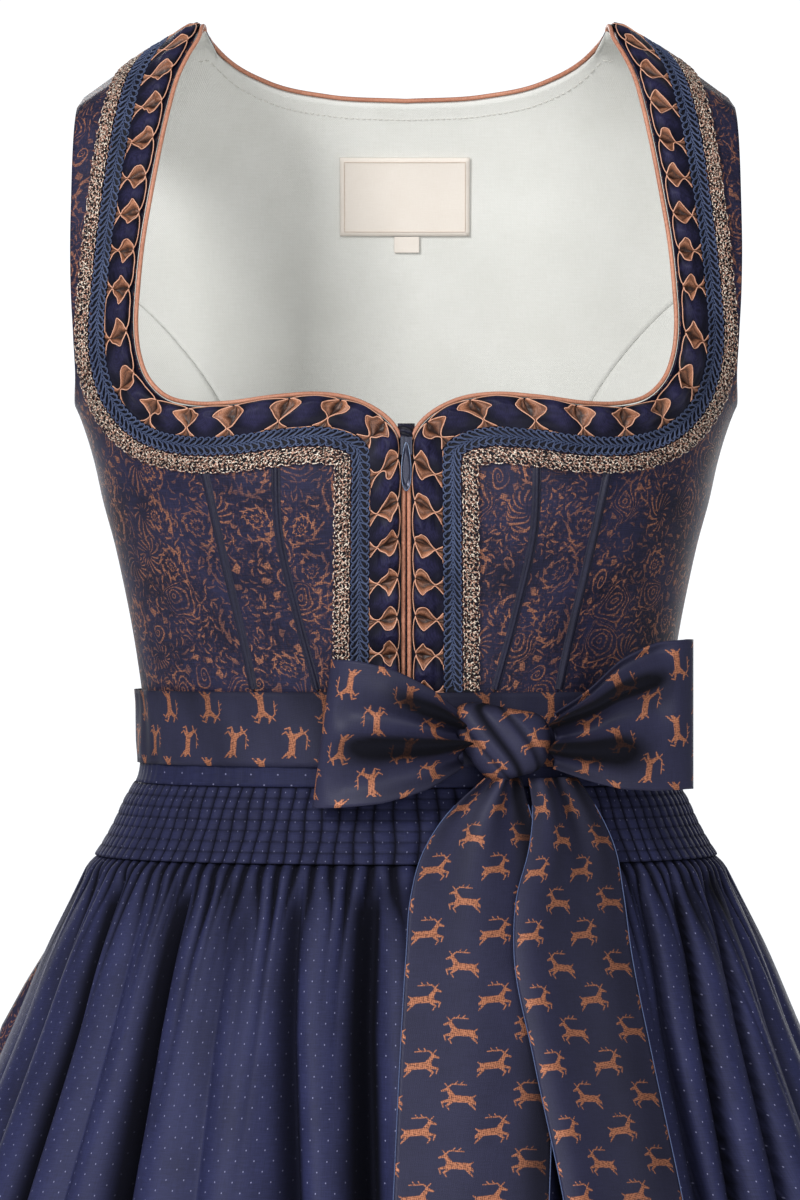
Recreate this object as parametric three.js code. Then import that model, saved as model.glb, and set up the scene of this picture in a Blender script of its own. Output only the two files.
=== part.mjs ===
import * as THREE from 'three';

// A dirndl worn by no one: brocade bodice and skirt, trims, and an apron tied with a bow.
// Millimetres, +Z up. The front faces -Y and +X is the viewer's right.
// The origin is midway between the shoulders, at the height of the shoulder seams' neck ends.

// Heights of the garment's lines
const SHOULDER_END_Z = -27;
const UNDERARM_Z = -186;
const BUST_ROW_Z = -232;
const WAIST_Z = -352;
const TIE_TOP_Z = -328;
const TIE_BOTTOM_Z = -364;
const BAND_TOP_Z = -329;
const BAND_BOTTOM_Z = -373.7;
const SMOCK_BOTTOM_Z = -410;
const APRON_HEM_Z = -960;
const SKIRT_HEM_Z = -1003;

// Shoulder line, from the neck end to the armhole end
const SHOULDER_INNER_X = 100;
const SHOULDER_OUTER_X = 161;
const SHOULDER_CURVE = 1.6;

// Cloth layers as distances out from the lining's inner face
const SEAM_GAP = 0.3;
const LAYER = {
  label: [-1.6, -0.6],
  lining: [0, 1],
  panel: [1.3, 2.8],
  skirt: [1.3, 2.8],
  waistband: [3.9, 4.9],
  tie: [5.4, 6.6],
  tape: [-0.4, 0.6],
  apron: [3.1, 4.6],
};
const TRIM_BASE = 3.5;
const LACE_BASE = 4.1;

// Bands of trim as distances from the neckline's free edge
const PIPING_RADIUS = 0.8;
const PANEL_EDGE = 2;
const FROG_BAND = [2.5, 6, 10, 14, 18.2];
const FROG_REPEATS = [9, 4, 4, 7];
const GIMP_BAND = [18.7, 23, 27.2];
const LACE_BAND = [27.7, 32, 37];

// Half width of the body by height; the shoulders above are worked out in halfWidth
const HALF_WIDTHS = [
  { z: -27, half: 161 }, { z: -42, half: 180 }, { z: -60, half: 191 }, { z: -85, half: 198 },
  { z: -113, half: 199 }, { z: -140, half: 192 }, { z: -165, half: 177 }, { z: -186, half: 162.5 },
  { z: -200, half: 157 }, { z: -213.5, half: 153 }, { z: -233.5, half: 148.5 }, { z: -253.5, half: 143 },
  { z: -273.5, half: 138.5 }, { z: -293.5, half: 134.5 }, { z: -313.5, half: 131.2 }, { z: -330, half: 129 },
  { z: -352, half: 128.3 }, { z: -372, half: 129.5 }, { z: -383, half: 135.5 }, { z: -393, half: 140 },
  { z: -403, half: 145.5 }, { z: -413, half: 152 }, { z: -433, half: 163 }, { z: -453, half: 173.5 },
  { z: -493, half: 191 }, { z: -583, half: 231 }, { z: -700, half: 277 }, { z: -850, half: 328 },
  { z: -1003, half: 368 },
];

// Depth of the body in front of and behind the shoulder line
const DEPTHS = [
  { z: 0, front: 46, back: 50 }, { z: -28, front: 60, back: 72 }, { z: -60, front: 70, back: 86 },
  { z: -100, front: 78, back: 94 }, { z: -150, front: 89, back: 100 }, { z: -190, front: 102, back: 101 },
  { z: -225, front: 107, back: 99 }, { z: -270, front: 102, back: 95 }, { z: -310, front: 96, back: 91 },
  { z: -352, front: 92.5, back: 89 }, { z: -372, front: 93.5, back: 91 }, { z: -383, front: 97.5, back: 96 },
  { z: -393, front: 102, back: 102 }, { z: -413, front: 111, back: 114 }, { z: -433, front: 120, back: 126 },
  { z: -453, front: 128, back: 136 }, { z: -493, front: 142, back: 152 }, { z: -583, front: 172, back: 185 },
  { z: -700, front: 206, back: 220 }, { z: -850, front: 246, back: 260 }, { z: -1003, front: 280, back: 294 },
];

// Bust cups: a soft mound on each side of the front, gone at the side seams
const BUST = { x: 78, z: -222, width: 42, height: 52, depth: 12 };

// Free edge of the front neckline from the shoulder to the zip and down to the waist
const NECK_EDGE = [
  { x: 100, z: 0 }, { x: 101, z: -7 }, { x: 106, z: -16 }, { x: 111, z: -27 }, { x: 115.4, z: -43.8 },
  { x: 119.8, z: -65.1 }, { x: 123.8, z: -87.3 }, { x: 127.3, z: -109.5 }, { x: 129.3, z: -131.6 },
  { x: 130, z: -149.9 }, { x: 128.1, z: -164.6 }, { x: 123.3, z: -176.2 }, { x: 114.3, z: -184.9 },
  { x: 101.6, z: -188.6 }, { x: 85.2, z: -188.9 }, { x: 62.3, z: -186.2 }, { x: 41.9, z: -185 },
  { x: 26.4, z: -187.2 }, { x: 14.4, z: -192.5 }, { x: 6.5, z: -199.2 }, { x: 2.4, z: -206.9 },
  { x: 1.2, z: -216 }, { x: 1.2, z: -240 }, { x: 1.2, z: -300 }, { x: 1.2, z: WAIST_Z },
];
const TRIM_END_Z = TIE_TOP_Z + SEAM_GAP;

// Armhole edge, the same in front and behind
const ARMHOLE = [
  { z: -27, x: 161 }, { z: -33.5, x: 162.5 }, { z: -53.5, x: 165.8 }, { z: -83.5, x: 167.3 },
  { z: -113.5, x: 167.5 }, { z: -133.5, x: 166.5 }, { z: -153.5, x: 164.8 }, { z: -173.5, x: 163.3 },
  { z: -186, x: 162.5 },
];

// Back neckline by distance from the centre
const BACK_NECK = [
  { x: 0, z: -27 }, { x: 40, z: -25 }, { x: 70, z: -19 }, { x: 90, z: -9 }, { x: 100, z: 0 },
];

// Princess seams: the inner and outer front seams, and the back seam that starts on the armhole
const SEAM_INNER = [
  { z: -186, x: 64 }, { z: -220, x: 65 }, { z: -247, x: 64 }, { z: -290, x: 55 }, { z: -328, x: 44.5 },
  { z: -352, x: 38 },
];
const SEAM_OUTER = [
  { z: -186, x: 108 }, { z: -224, x: 99 }, { z: -265, x: 90 }, { z: -305, x: 82 }, { z: -352, x: 73 },
];
const SEAM_BACK = [
  { z: -112, x: 167.5 }, { z: -130, x: 140 }, { z: -160, x: 110 }, { z: -200, x: 86 }, { z: -260, x: 68 },
  { z: -352, x: 54 },
];
const SEAM_PIPING_TOP_Z = -226.5;
const SEAM_PIPING_END_Z = TIE_TOP_Z + 2;
const BACK_ROWS = [-112.8, -124, -142, -166, UNDERARM_Z, -212, -262, -314];
const BACK_COLUMNS = [0, 32, 62, 85, SHOULDER_INNER_X + PANEL_EDGE, 121, 141, SHOULDER_OUTER_X];

// Rows of the side front, as heights on the neckline side and on the armhole side
const STRAP_ROWS = [
  { inner: 0, outer: -27 }, { inner: -1, outer: -28 }, { inner: -4, outer: -31 }, { inner: -9, outer: -36 },
  { inner: -18, outer: -44 }, { inner: -34, outer: -57 }, { inner: -56, outer: -74 },
  { inner: -84, outer: -96 }, { inner: -114, outer: -119 }, { inner: -138, outer: -138 },
  { inner: -157, outer: -154 }, { inner: -172, outer: -166 }, { inner: -181, outer: -174 },
  { inner: -187, outer: -180.5 }, { inner: -190.5, outer: UNDERARM_Z },
];
const NECK_BOTTOM_Z = -190.5;
const LOWER_ROWS = [-210, BUST_ROW_Z, -256, -282, -316];
const ZIP_ROW_DROP = 11;

// Apron folds: angle of each valley from the centre front at three heights, its width and its depth
const FOLD_HEIGHTS = { top: -418, middle: -490, low: -565 };
const APRON_FOLDS = [
  { top: -82, middle: -80, low: -79, width: 3.2, depth: 0.5 },
  { top: -70, middle: -69, low: -68, width: 3.4, depth: 0.6 },
  { top: -59, middle: -57, low: -56, width: 3.6, depth: 0.9 },
  { top: -48, middle: -47.5, low: -47, width: 3.2, depth: 0.45 },
  { top: -38.8, middle: -38.2, low: -36.6, width: 4, depth: 1 },
  { top: -28, middle: -27, low: -25.5, width: 3.2, depth: 0.4 },
  { top: -16.3, middle: -15.2, low: -12.8, width: 3.2, depth: 0.75 },
  { top: -4, middle: -4.4, low: -3.6, width: 4, depth: 1 },
  { top: 9, middle: 8, low: 8, width: 3.4, depth: 0.6 },
  { top: 22, middle: 21, low: 20, width: 3.4, depth: 0.7 },
  { top: 33, middle: 33, low: 33, width: 3.4, depth: 0.6 },
  { top: 44, middle: 41, low: 40, width: 3.2, depth: 0.7 },
  { top: 54, middle: 50, low: 47, width: 3.6, depth: 1 },
  { top: 66, middle: 60, low: 56, width: 3.4, depth: 0.8 },
  { top: 75, middle: 70, low: 68, width: 3.4, depth: 0.6 },
  { top: 85, middle: 80, low: 79, width: 3, depth: 0.4 },
];
const APRON_HALF_ANGLE = 92;
const FOLD_DEPTHS = [
  { z: -410, depth: 0 }, { z: -420, depth: 2.5 }, { z: -440, depth: 6 }, { z: -500, depth: 12 },
  { z: -600, depth: 19 }, { z: -800, depth: 28 }, { z: -1003, depth: 34 },
];
const APRON_ROWS = [-410.3, -422, -440, -468, -510, -570, -670, -800, APRON_HEM_Z];
const APRON_COLUMNS = 52;

// Skirt folds: regular behind, shallow under the apron
const BACK_FOLDS = 12;
const COLUMNS_PER_FOLD = 3;
const SKIRT_FRONT_COLUMNS = 20;
const SKIRT_COVERED_ANGLE = 97;
const SKIRT_ROWS = [WAIST_Z - SEAM_GAP, -372, -392, -412, -440, -500, -600, -780, SKIRT_HEM_Z];
const SKIRT_UNDER_APRON = 4;

// Smocking: cells round the front and rows of cells down
const SMOCK_CELLS = 40;
const SMOCK_CELL_ROWS = 7;
const SMOCK_TOP_Z = -374;
const SMOCK_BASE = 3.9;
const SMOCK_RELIEF = 2.8;

// Bow: loops as rows along the ribbon, with distance in front of the origin and ribbon half width
const KNOT = { x: 51.5, y: -108.7, z: -351.5, halfX: 22.6, halfY: 12.4, halfZ: 17.2 };
const LOOP_LEFT = [
  { x: 30.1, y: -111, z: -351, half: 13 }, { x: 10, y: -121, z: -350, half: 24 },
  { x: -12, y: -124, z: -348.5, half: 32 }, { x: -32, y: -121, z: -347.5, half: 35 },
  { x: -43, y: -115, z: -347.5, half: 35.5 }, { x: -45, y: -110, z: -347.5, half: 35.5 },
  { x: -40, y: -106, z: -347.5, half: 35 }, { x: -20, y: -105, z: -348, half: 33 },
  { x: 5, y: -105, z: -350, half: 25 }, { x: 30.3, y: -105.5, z: -351, half: 13 },
];
const LOOP_RIGHT = [
  { x: 74.6, y: -111, z: -351, half: 13 }, { x: 88, y: -116, z: -348, half: 22 },
  { x: 104, y: -115, z: -343, half: 31 }, { x: 122, y: -109, z: -339.5, half: 35.5 },
  { x: 134, y: -101, z: -338.5, half: 36 }, { x: 138.5, y: -93, z: -338.5, half: 36 },
  { x: 135, y: -86.5, z: -338.5, half: 36 }, { x: 120, y: -86, z: -341, half: 33 },
  { x: 100, y: -91, z: -346, half: 26 }, { x: 73.6, y: -104, z: -351, half: 13 },
];
const RIBBON_WALL = 1.2;

// Bow tails: left and right edges and distance out from the body, by height
const TAIL_LEFT = [
  { z: -368.8, left: 34, right: 50, lift: 17 }, { z: -385, left: 17, right: 58, lift: 11 },
  { z: -403, left: 6, right: 64, lift: 9 }, { z: -425, left: 1, right: 67, lift: 7.4 },
  { z: -450, left: -1, right: 68, lift: 6 }, { z: -500, left: -3, right: 68, lift: 5.2 },
  { z: -563, left: -6, right: 66, lift: 5.2 }, { z: -640, left: -10, right: 62, lift: 5.2 },
  { z: -740, left: -15, right: 57, lift: 5.2 }, { z: -836, left: -19, right: 53, lift: 5.2 },
];
const TAIL_RIGHT = [
  { z: -368.8, left: 53, right: 78, lift: 17 }, { z: -385, left: 57, right: 95, lift: 13.4 },
  { z: -403, left: 57, right: 104, lift: 11 }, { z: -425, left: 50, right: 107, lift: 9.4 },
  { z: -450, left: 50, right: 111, lift: 8 }, { z: -500, left: 59, right: 119, lift: 7 },
  { z: -563, left: 72, right: 130, lift: 7 }, { z: -640, left: 83, right: 141, lift: 7 },
  { z: -740, left: 95, right: 156, lift: 7 }, { z: -846, left: 106, right: 169, lift: 7 },
];

// Zip, below the notch of the neckline
const ZIP = { tapeHalf: 9, top: -208, bottom: WAIST_Z };
const SLIDER = {
  top: -205.5, bottom: -214, half: 2.7, seat: 4.2, face: 5.8, stem: 0.8, lug: 0.8, lugTop: 8.4,
};
const PULL = { axisZ: -208.5, axisLift: 7.3, barWidth: 3.2, wall: 1.2, neckZ: -6, length: 23, half: 3 };

const LABELS = [
  { name: 'label_main', left: -34, right: 33, top: -55, bottom: -95, layer: LAYER.label },
  { name: 'label_size', left: -6, right: 7, top: -95.3, bottom: -103.5, layer: LAYER.label },
];

const COLOURS = {
  brocade: { colour: 0x32302f, roughness: 0.5, metalness: 0.05 },
  lining: { colour: 0xdfdfda, roughness: 0.85, metalness: 0 },
  copper: { colour: 0xb0775a, roughness: 0.45, metalness: 0.2 },
  ruffle: { colour: 0x2a2540, roughness: 0.55, metalness: 0.05 },
  gimp: { colour: 0x3f465a, roughness: 0.7, metalness: 0 },
  lace: { colour: 0x897774, roughness: 0.5, metalness: 0.35 },
  apron: { colour: 0x2f314f, roughness: 0.5, metalness: 0 },
  ribbon: { colour: 0x2e2d41, roughness: 0.45, metalness: 0 },
  navy: { colour: 0x1c1c2c, roughness: 0.55, metalness: 0 },
  metal: { colour: 0x232536, roughness: 0.35, metalness: 0.6 },
  label: { colour: 0xe4ddd4, roughness: 0.7, metalness: 0 },
};

const SIDES = [['left', -1], ['right', 1]];
const FRONT = -1;
const BACK = 1;

// Value of one column of a table, by another column, along a smooth curve through its rows.
// Each row's slope is the weighted mean of the slopes beside it.
function smoothValue(table, key, column, at) {
  const rows = table[0][key] < table[table.length - 1][key] ? table : [...table].reverse();
  const last = rows.length - 1;
  const place = THREE.MathUtils.clamp(at, rows[0][key], rows[last][key]);
  let i = 0;
  while (i < last - 1 && place > rows[i + 1][key]) i += 1;
  const step = (k) => rows[k + 1][key] - rows[k][key];
  const rise = (k) => (rows[k + 1][column] - rows[k][column]) / step(k);
  const slope = (k) => {
    if (k === 0) return rise(0);
    if (k === last) return rise(last - 1);
    return (step(k) * rise(k - 1) + step(k - 1) * rise(k)) / (step(k - 1) + step(k));
  };
  const s = (place - rows[i][key]) / step(i);
  const h = step(i);
  return (2 * s ** 3 - 3 * s ** 2 + 1) * rows[i][column] + (s ** 3 - 2 * s ** 2 + s) * h * slope(i)
    + (3 * s ** 2 - 2 * s ** 3) * rows[i + 1][column] + (s ** 3 - s ** 2) * h * slope(i + 1);
}

function mix(from, to, share) {
  return from + (to - from) * share;
}

function range(count) {
  return Array.from({ length: count }, (_, i) => i);
}

function radians(degrees) {
  return THREE.MathUtils.degToRad(degrees);
}

// Height of the shoulder line at a distance from the centre
function shoulderZ(x) {
  const share = Math.max(Math.abs(x) - SHOULDER_INNER_X, 0) / (SHOULDER_OUTER_X - SHOULDER_INNER_X);
  return SHOULDER_END_Z * share ** SHOULDER_CURVE;
}

function halfWidth(z) {
  if (z <= SHOULDER_END_Z) return smoothValue(HALF_WIDTHS, 'z', 'half', z);
  const share = Math.max(z / SHOULDER_END_Z, 0) ** (1 / SHOULDER_CURVE);
  return mix(SHOULDER_INNER_X, SHOULDER_OUTER_X, share) - 5 * Math.max(z, 0);
}

// Exponent of the sections' superellipse: squarer at the bodice, rounder down the skirt
function sectionPower(z) {
  return 2.25 - 0.15 * THREE.MathUtils.smoothstep(-z, -BAND_BOTTOM_Z, -BAND_BOTTOM_Z + 200);
}

function bust(x, z) {
  const across = (Math.abs(x) - BUST.x) / BUST.width;
  const up = (z - BUST.z) / BUST.height;
  const power = sectionPower(z);
  const depth = Math.max(1 - (Math.abs(x) / halfWidth(z)) ** power, 0) ** (1 / power);
  return BUST.depth * depth * (2 - depth) * Math.exp(-(across ** 2 + up ** 2) / 2);
}

function depthAt(z, side) {
  return smoothValue(DEPTHS, 'z', side === FRONT ? 'front' : 'back', z);
}

// The body's surface on one side of the shoulder line: y for a place (x, z)
function bodyY(x, z, side) {
  const power = sectionPower(z);
  const share = Math.min(Math.abs(x) / halfWidth(z), 1);
  const y = depthAt(z, side) * (1 - share ** power) ** (1 / power);
  return side === FRONT ? -y - bust(x, z) : y;
}

// The body's field, above 1 outside it; its slope gives the direction straight out of the cloth
function bodyField(x, y, z, side) {
  const power = sectionPower(z);
  const reach = side === FRONT ? Math.max(-y - bust(x, z), 0) : Math.max(y, 0);
  return (Math.abs(x) / halfWidth(z)) ** power + (reach / depthAt(z, side)) ** power;
}

function bodyNormal(x, y, z, side) {
  const step = 0.4;
  const slope = (dx, dy, dz) => (
    bodyField(x + dx, y + dy, z + dz, side) - bodyField(x - dx, y - dy, z - dz, side)
  );
  const normal = new THREE.Vector3(slope(step, 0, 0), slope(0, step, 0), slope(0, 0, step));
  if (Math.abs(y) < 2 * step) normal.y = 0;
  return normal.normalize();
}

// A point of the body moved out by a layer's distance, clear of the seam where front meets back
function bodyPoint(x, z, side, out) {
  const y = bodyY(x, z, side);
  const point = new THREE.Vector3(x, y, z).addScaledVector(bodyNormal(x, y, z, side), out);
  point.y = side * Math.max(side * point.y, SEAM_GAP / 2);
  return point;
}

// A point at an angle round the body, 0 at the centre front and 90 at the viewer's right side
function ringPoint(degrees, z, out, inward = 0) {
  const angle = radians(degrees);
  const side = Math.cos(angle) >= 0 ? FRONT : BACK;
  const power = 2 / sectionPower(z);
  const x = halfWidth(z) * Math.sign(Math.sin(angle)) * Math.abs(Math.sin(angle)) ** power;
  const y = side * depthAt(z, side) * Math.abs(Math.cos(angle)) ** power;
  const lowered = side === FRONT ? y - bust(x, z) : y;
  const normal = bodyNormal(x, lowered, z, side);
  normal.z = 0;
  return new THREE.Vector3(x, lowered, z).addScaledVector(normal.normalize(), out - inward);
}

// A closed mesh from corner lists; corners at one place are joined and empty triangles left out.
// The faces are turned to look outwards.
function closedMesh(name, look, triangles) {
  const places = new Map();
  const positions = [];
  const number = (point) => {
    const key = point.toArray().map((value) => Math.round(value * 1000)).join(',');
    if (!places.has(key)) {
      places.set(key, places.size);
      positions.push(point.x, point.y, point.z);
    }
    return places.get(key);
  };
  const index = [];
  let volume = 0;
  for (const [a, b, c] of triangles) {
    const corners = [number(a), number(b), number(c)];
    if (new Set(corners).size === 3) {
      index.push(...corners);
      volume += a.dot(new THREE.Vector3().crossVectors(b, c));
    }
  }
  const geometry = new THREE.BufferGeometry();
  geometry.setAttribute('position', new THREE.Float32BufferAttribute(positions, 3));
  geometry.setIndex(volume < 0 ? index.reverse() : index);
  geometry.computeVertexNormals();
  const mesh = new THREE.Mesh(geometry, new THREE.MeshStandardMaterial({
    color: look.colour, roughness: look.roughness, metalness: look.metalness,
  }));
  mesh.name = name;
  return mesh;
}

// Triangles between two rows of points that may differ in count
function strip(first, second) {
  const triangles = [];
  let i = 0;
  let j = 0;
  while (i < first.length - 1 || j < second.length - 1) {
    const stepFirst = j === second.length - 1
      || (i < first.length - 1 && (i + 1) / (first.length - 1) <= (j + 1) / (second.length - 1));
    if (stepFirst) {
      triangles.push([first[i], first[i + 1], second[j]]);
      i += 1;
    } else {
      triangles.push([first[i], second[j + 1], second[j]]);
      j += 1;
    }
  }
  return triangles;
}

// A wall between an outer and an inner grid of points, both with the same count along and cut
// along the same diagonals, so that nested walls stay parallel.
// A ring's rows are closed on themselves; otherwise the two ends are closed by strips.
function wall(name, look, outer, inner, ring = false) {
  const close = (row) => (ring ? [...row, row[0]] : row);
  const out = outer.map(close);
  const back = inner.map(close);
  const triangles = [];
  for (const k of range(out.length - 1)) triangles.push(...strip(out[k], out[k + 1]));
  for (const k of range(back.length - 1)) {
    triangles.push(...strip(back[k], back[k + 1]).map(([a, b, c]) => [c, b, a]));
  }
  triangles.push(...strip(back[0], out[0]));
  triangles.push(...strip(out[out.length - 1], back[back.length - 1]));
  if (!ring) {
    const last = out[0].length - 1;
    triangles.push(...strip(out.map((row) => row[0]), back.map((row) => row[0])));
    triangles.push(...strip(back.map((row) => row[last]), out.map((row) => row[last])));
  }
  return closedMesh(name, look, triangles);
}

// A panel from rows of (x, z) places on the body, between a layer's two distances
function panel(name, look, places, side, layer) {
  const face = (out) => places.map((row) => row.map(([x, z]) => bodyPoint(x, z, side, out)));
  return wall(name, look, face(layer[1]), face(layer[0]));
}

function mirrored(places, sign) {
  return places.map((row) => row.map(([x, z]) => [sign * x, z]));
}

// The neckline's free edge as close samples with the direction out over the cloth.
// Near the shoulder the direction turns level, so that bands end along the shoulder line.
const neckSamples = (() => {
  const curve = new THREE.CatmullRomCurve3(
    NECK_EDGE.map(({ x, z }) => new THREE.Vector3(x, 0, z)), false, 'centripetal',
  );
  const count = 1600;
  return range(count + 1).map((i) => {
    const point = curve.getPoint(i / count);
    const along = curve.getTangent(i / count);
    const level = Math.exp(point.z / 20);
    const out = new THREE.Vector2(-along.z, along.x).lerp(new THREE.Vector2(1, 0), level).normalize();
    return { x: point.x, z: point.z, out, level };
  });
})();

function besideNeck(sample, distance) {
  const x = sample.x + distance * sample.out.x;
  const drop = (shoulderZ(x) - shoulderZ(sample.x)) * sample.level;
  return [x, sample.z + distance * sample.out.y + drop];
}

// The line at a distance from the neckline, without the stretch that the mitre at the zip cuts off
function neckLine(distance) {
  return neckSamples
    .map((sample, i) => ({ i, place: besideNeck(sample, distance) }))
    .filter(({ i, place }) => neckSamples.every((other, k) => {
      if (Math.abs(k - i) < 20 || other.z > -150) return true;
      return Math.hypot(other.x - place[0], other.z - place[1]) > distance - 0.1;
    }));
}

// The same line cut at the start of the neckline's corner, its end, the mitre and the tie,
// and spaced evenly in each stretch
function trimLine(distance, counts) {
  const line = neckLine(distance).filter(({ place }) => place[1] > TRIM_END_Z);
  const stop = (test) => line.findIndex(({ i }) => test(neckSamples[i]));
  const mitre = line.reduce((best, item, k) => {
    const score = item.place[0] - item.place[1];
    const lowest = line[best].place[0] - line[best].place[1];
    return neckSamples[item.i].x < 40 && item.place[1] > -250 && score < lowest ? k : best;
  }, line.findIndex(({ i }) => neckSamples[i].x < 40));
  const stops = [0, stop((s) => s.z < -133), stop((s) => s.z < -180 && s.x < 101), mitre, line.length - 1];
  const points = [];
  counts.forEach((count, part) => {
    const piece = line.slice(stops[part], stops[part + 1] + 1).map(({ place }) => place);
    const lengths = [0];
    for (let k = 1; k < piece.length; k += 1) {
      const a = bodyPoint(...piece[k - 1], FRONT, 0);
      const b = bodyPoint(...piece[k], FRONT, 0);
      lengths.push(lengths[k - 1] + a.distanceTo(b));
    }
    const total = lengths[lengths.length - 1];
    for (const n of range(part === 0 ? count + 1 : count)) {
      const want = (total * (part === 0 ? n : n + 1)) / count;
      let k = lengths.findIndex((length) => length >= want - 1e-9);
      k = Math.max(k, 1);
      const share = (want - lengths[k - 1]) / Math.max(lengths[k] - lengths[k - 1], 1e-9);
      points.push([mix(piece[k - 1][0], piece[k][0], share), mix(piece[k - 1][1], piece[k][1], share)]);
    }
  });
  return points;
}

// A band of trim with a raised outer face; its long edges lie on the cloth
function trim(name, look, sign, distances, counts, relief, seat = TRIM_BASE) {
  const lines = distances.map((distance) => trimLine(distance, counts));
  const last = lines.length - 1;
  const lift = (line, across) => line.map(([x, z], along) => {
    const height = seat + relief(across, along, last);
    return bodyPoint(sign * x, z, FRONT, height);
  });
  const base = [0, last / 2, last].map((across) => (
    lines[across].map(([x, z]) => bodyPoint(sign * x, z, FRONT, seat))
  ));
  return wall(name, look, lines.map(lift), base);
}

function gimpRelief(across, along, last) {
  return across === 0 || across === last ? 0 : 1.7;
}

function laceRelief(across, along, last) {
  return across === 0 || across === last ? 0 : 1.1;
}

// Each frog mouth is two open lips with a pinched knot before the next
function frogRelief(across, along, last) {
  if (across === 0 || across === last) return 0;
  const heights = along % 3 === 0 ? [1.4, 1.2, 1.4] : [3.4, 2, 3];
  return heights[across - 1];
}

// Round piping through a list of points, with a four sided section
function piping(name, look, points, normals) {
  const sections = points.map((point, k) => {
    const before = points[Math.max(k - 1, 0)];
    const after = points[Math.min(k + 1, points.length - 1)];
    const along = new THREE.Vector3().subVectors(after, before).normalize();
    const across = new THREE.Vector3().crossVectors(along, normals[k]).normalize();
    const out = new THREE.Vector3().crossVectors(across, along).normalize();
    return [[1, 0], [0, 1], [-1, 0], [0, -1]].map(([u, v]) => point.clone()
      .addScaledVector(across, u * PIPING_RADIUS).addScaledVector(out, v * PIPING_RADIUS));
  });
  const triangles = [];
  for (const k of range(sections.length - 1)) {
    triangles.push(...strip([...sections[k], sections[k][0]], [...sections[k + 1], sections[k + 1][0]]));
  }
  const first = sections[0];
  const end = sections[sections.length - 1];
  triangles.push([first[1], first[0], first[2]], [first[2], first[0], first[3]]);
  triangles.push([end[0], end[1], end[2]], [end[0], end[2], end[3]]);
  return closedMesh(name, look, triangles);
}

// Where a line crosses a height, looking from its shoulder end
function crossing(line, height) {
  const k = line.findIndex(([, z]) => z <= height);
  if (k <= 0) return line[Math.max(k, 0)][0];
  const share = (line[k - 1][1] - height) / (line[k - 1][1] - line[k][1]);
  return mix(line[k - 1][0], line[k][0], share);
}

// The height of the neckline's bottom edge at a distance from the centre
function bottomEdge(line, x) {
  const start = line.findIndex(([, z]) => z < -190);
  const k = line.findIndex(([at], i) => i > start && at <= x);
  const share = (line[k - 1][0] - x) / (line[k - 1][0] - line[k][0]);
  return mix(line[k - 1][1], line[k][1], share);
}

const panelLine = neckLine(PANEL_EDGE).map(({ place }) => place);

// Places across a row, evenly spaced in angle round the body; near the shoulder the row follows
// the shoulder line
function rowAcross(innerX, innerZ, outerX, outerZ, columns) {
  const turn = (x, z) => Math.asin(Math.min((x / halfWidth(z)) ** (sectionPower(z) / 2), 1));
  const inner = turn(innerX, innerZ);
  const outer = turn(outerX, outerZ);
  return range(columns + 1).map((c) => {
    const u = c / columns;
    const z = mix(innerZ, outerZ, u);
    const reach = mix(halfWidth(innerZ), halfWidth(outerZ), u);
    const round = reach * Math.sin(mix(inner, outer, u)) ** (2 / sectionPower(z));
    const x = c === 0 ? innerX : c === columns ? outerX : round;
    const drop = (shoulderZ(x) - shoulderZ(innerX)) / (shoulderZ(outerX) - shoulderZ(innerX) || 1);
    const height = innerZ === outerZ ? innerZ : mix(innerZ, outerZ, THREE.MathUtils.clamp(drop, 0, 1));
    return [x, height];
  });
}

function armholeX(z) {
  return z < UNDERARM_Z ? halfWidth(z) : smoothValue(ARMHOLE, 'z', 'x', z);
}

function sideFrontPlaces(columns) {
  const places = STRAP_ROWS.map(({ inner, outer }) => {
    const seam = smoothValue(SEAM_OUTER, 'z', 'x', inner) + SEAM_GAP / 2;
    const neck = inner === 0 ? SHOULDER_INNER_X + PANEL_EDGE : crossing(panelLine, inner);
    const x = inner < -190 ? seam : neck;
    return rowAcross(x, inner === 0 ? shoulderZ(x) : inner, armholeX(outer), outer, columns);
  });
  for (const z of [...LOWER_ROWS, WAIST_Z + SEAM_GAP / 2]) {
    const seam = smoothValue(SEAM_OUTER, 'z', 'x', z) + SEAM_GAP / 2;
    places.push(rowAcross(seam, z, halfWidth(z), z, columns));
  }
  return places;
}

// Places of a front panel below the neckline, between two upright edges given by height
function frontPlaces(innerEdge, outerEdge, columns) {
  const at = (z, c) => mix(innerEdge(z), outerEdge(z), c / columns);
  const [upperZ] = LOWER_ROWS;
  const top = range(columns + 1).map((c) => {
    const x = at(NECK_BOTTOM_Z, c);
    return [x, bottomEdge(panelLine, x)];
  });
  const places = [top, range(columns + 1).map((c) => {
    const z = upperZ - ZIP_ROW_DROP * Math.max(1 - at(upperZ, c) / 45, 0);
    return [at(z, c), z];
  })];
  for (const z of [...LOWER_ROWS.slice(1), WAIST_Z + SEAM_GAP / 2]) {
    places.push(range(columns + 1).map((c) => [at(z, c), z]));
  }
  return places;
}

function backNeckZ(x) {
  const at = Math.abs(x);
  return at > SHOULDER_INNER_X ? shoulderZ(at) : smoothValue(BACK_NECK, 'x', 'z', at);
}

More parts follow.
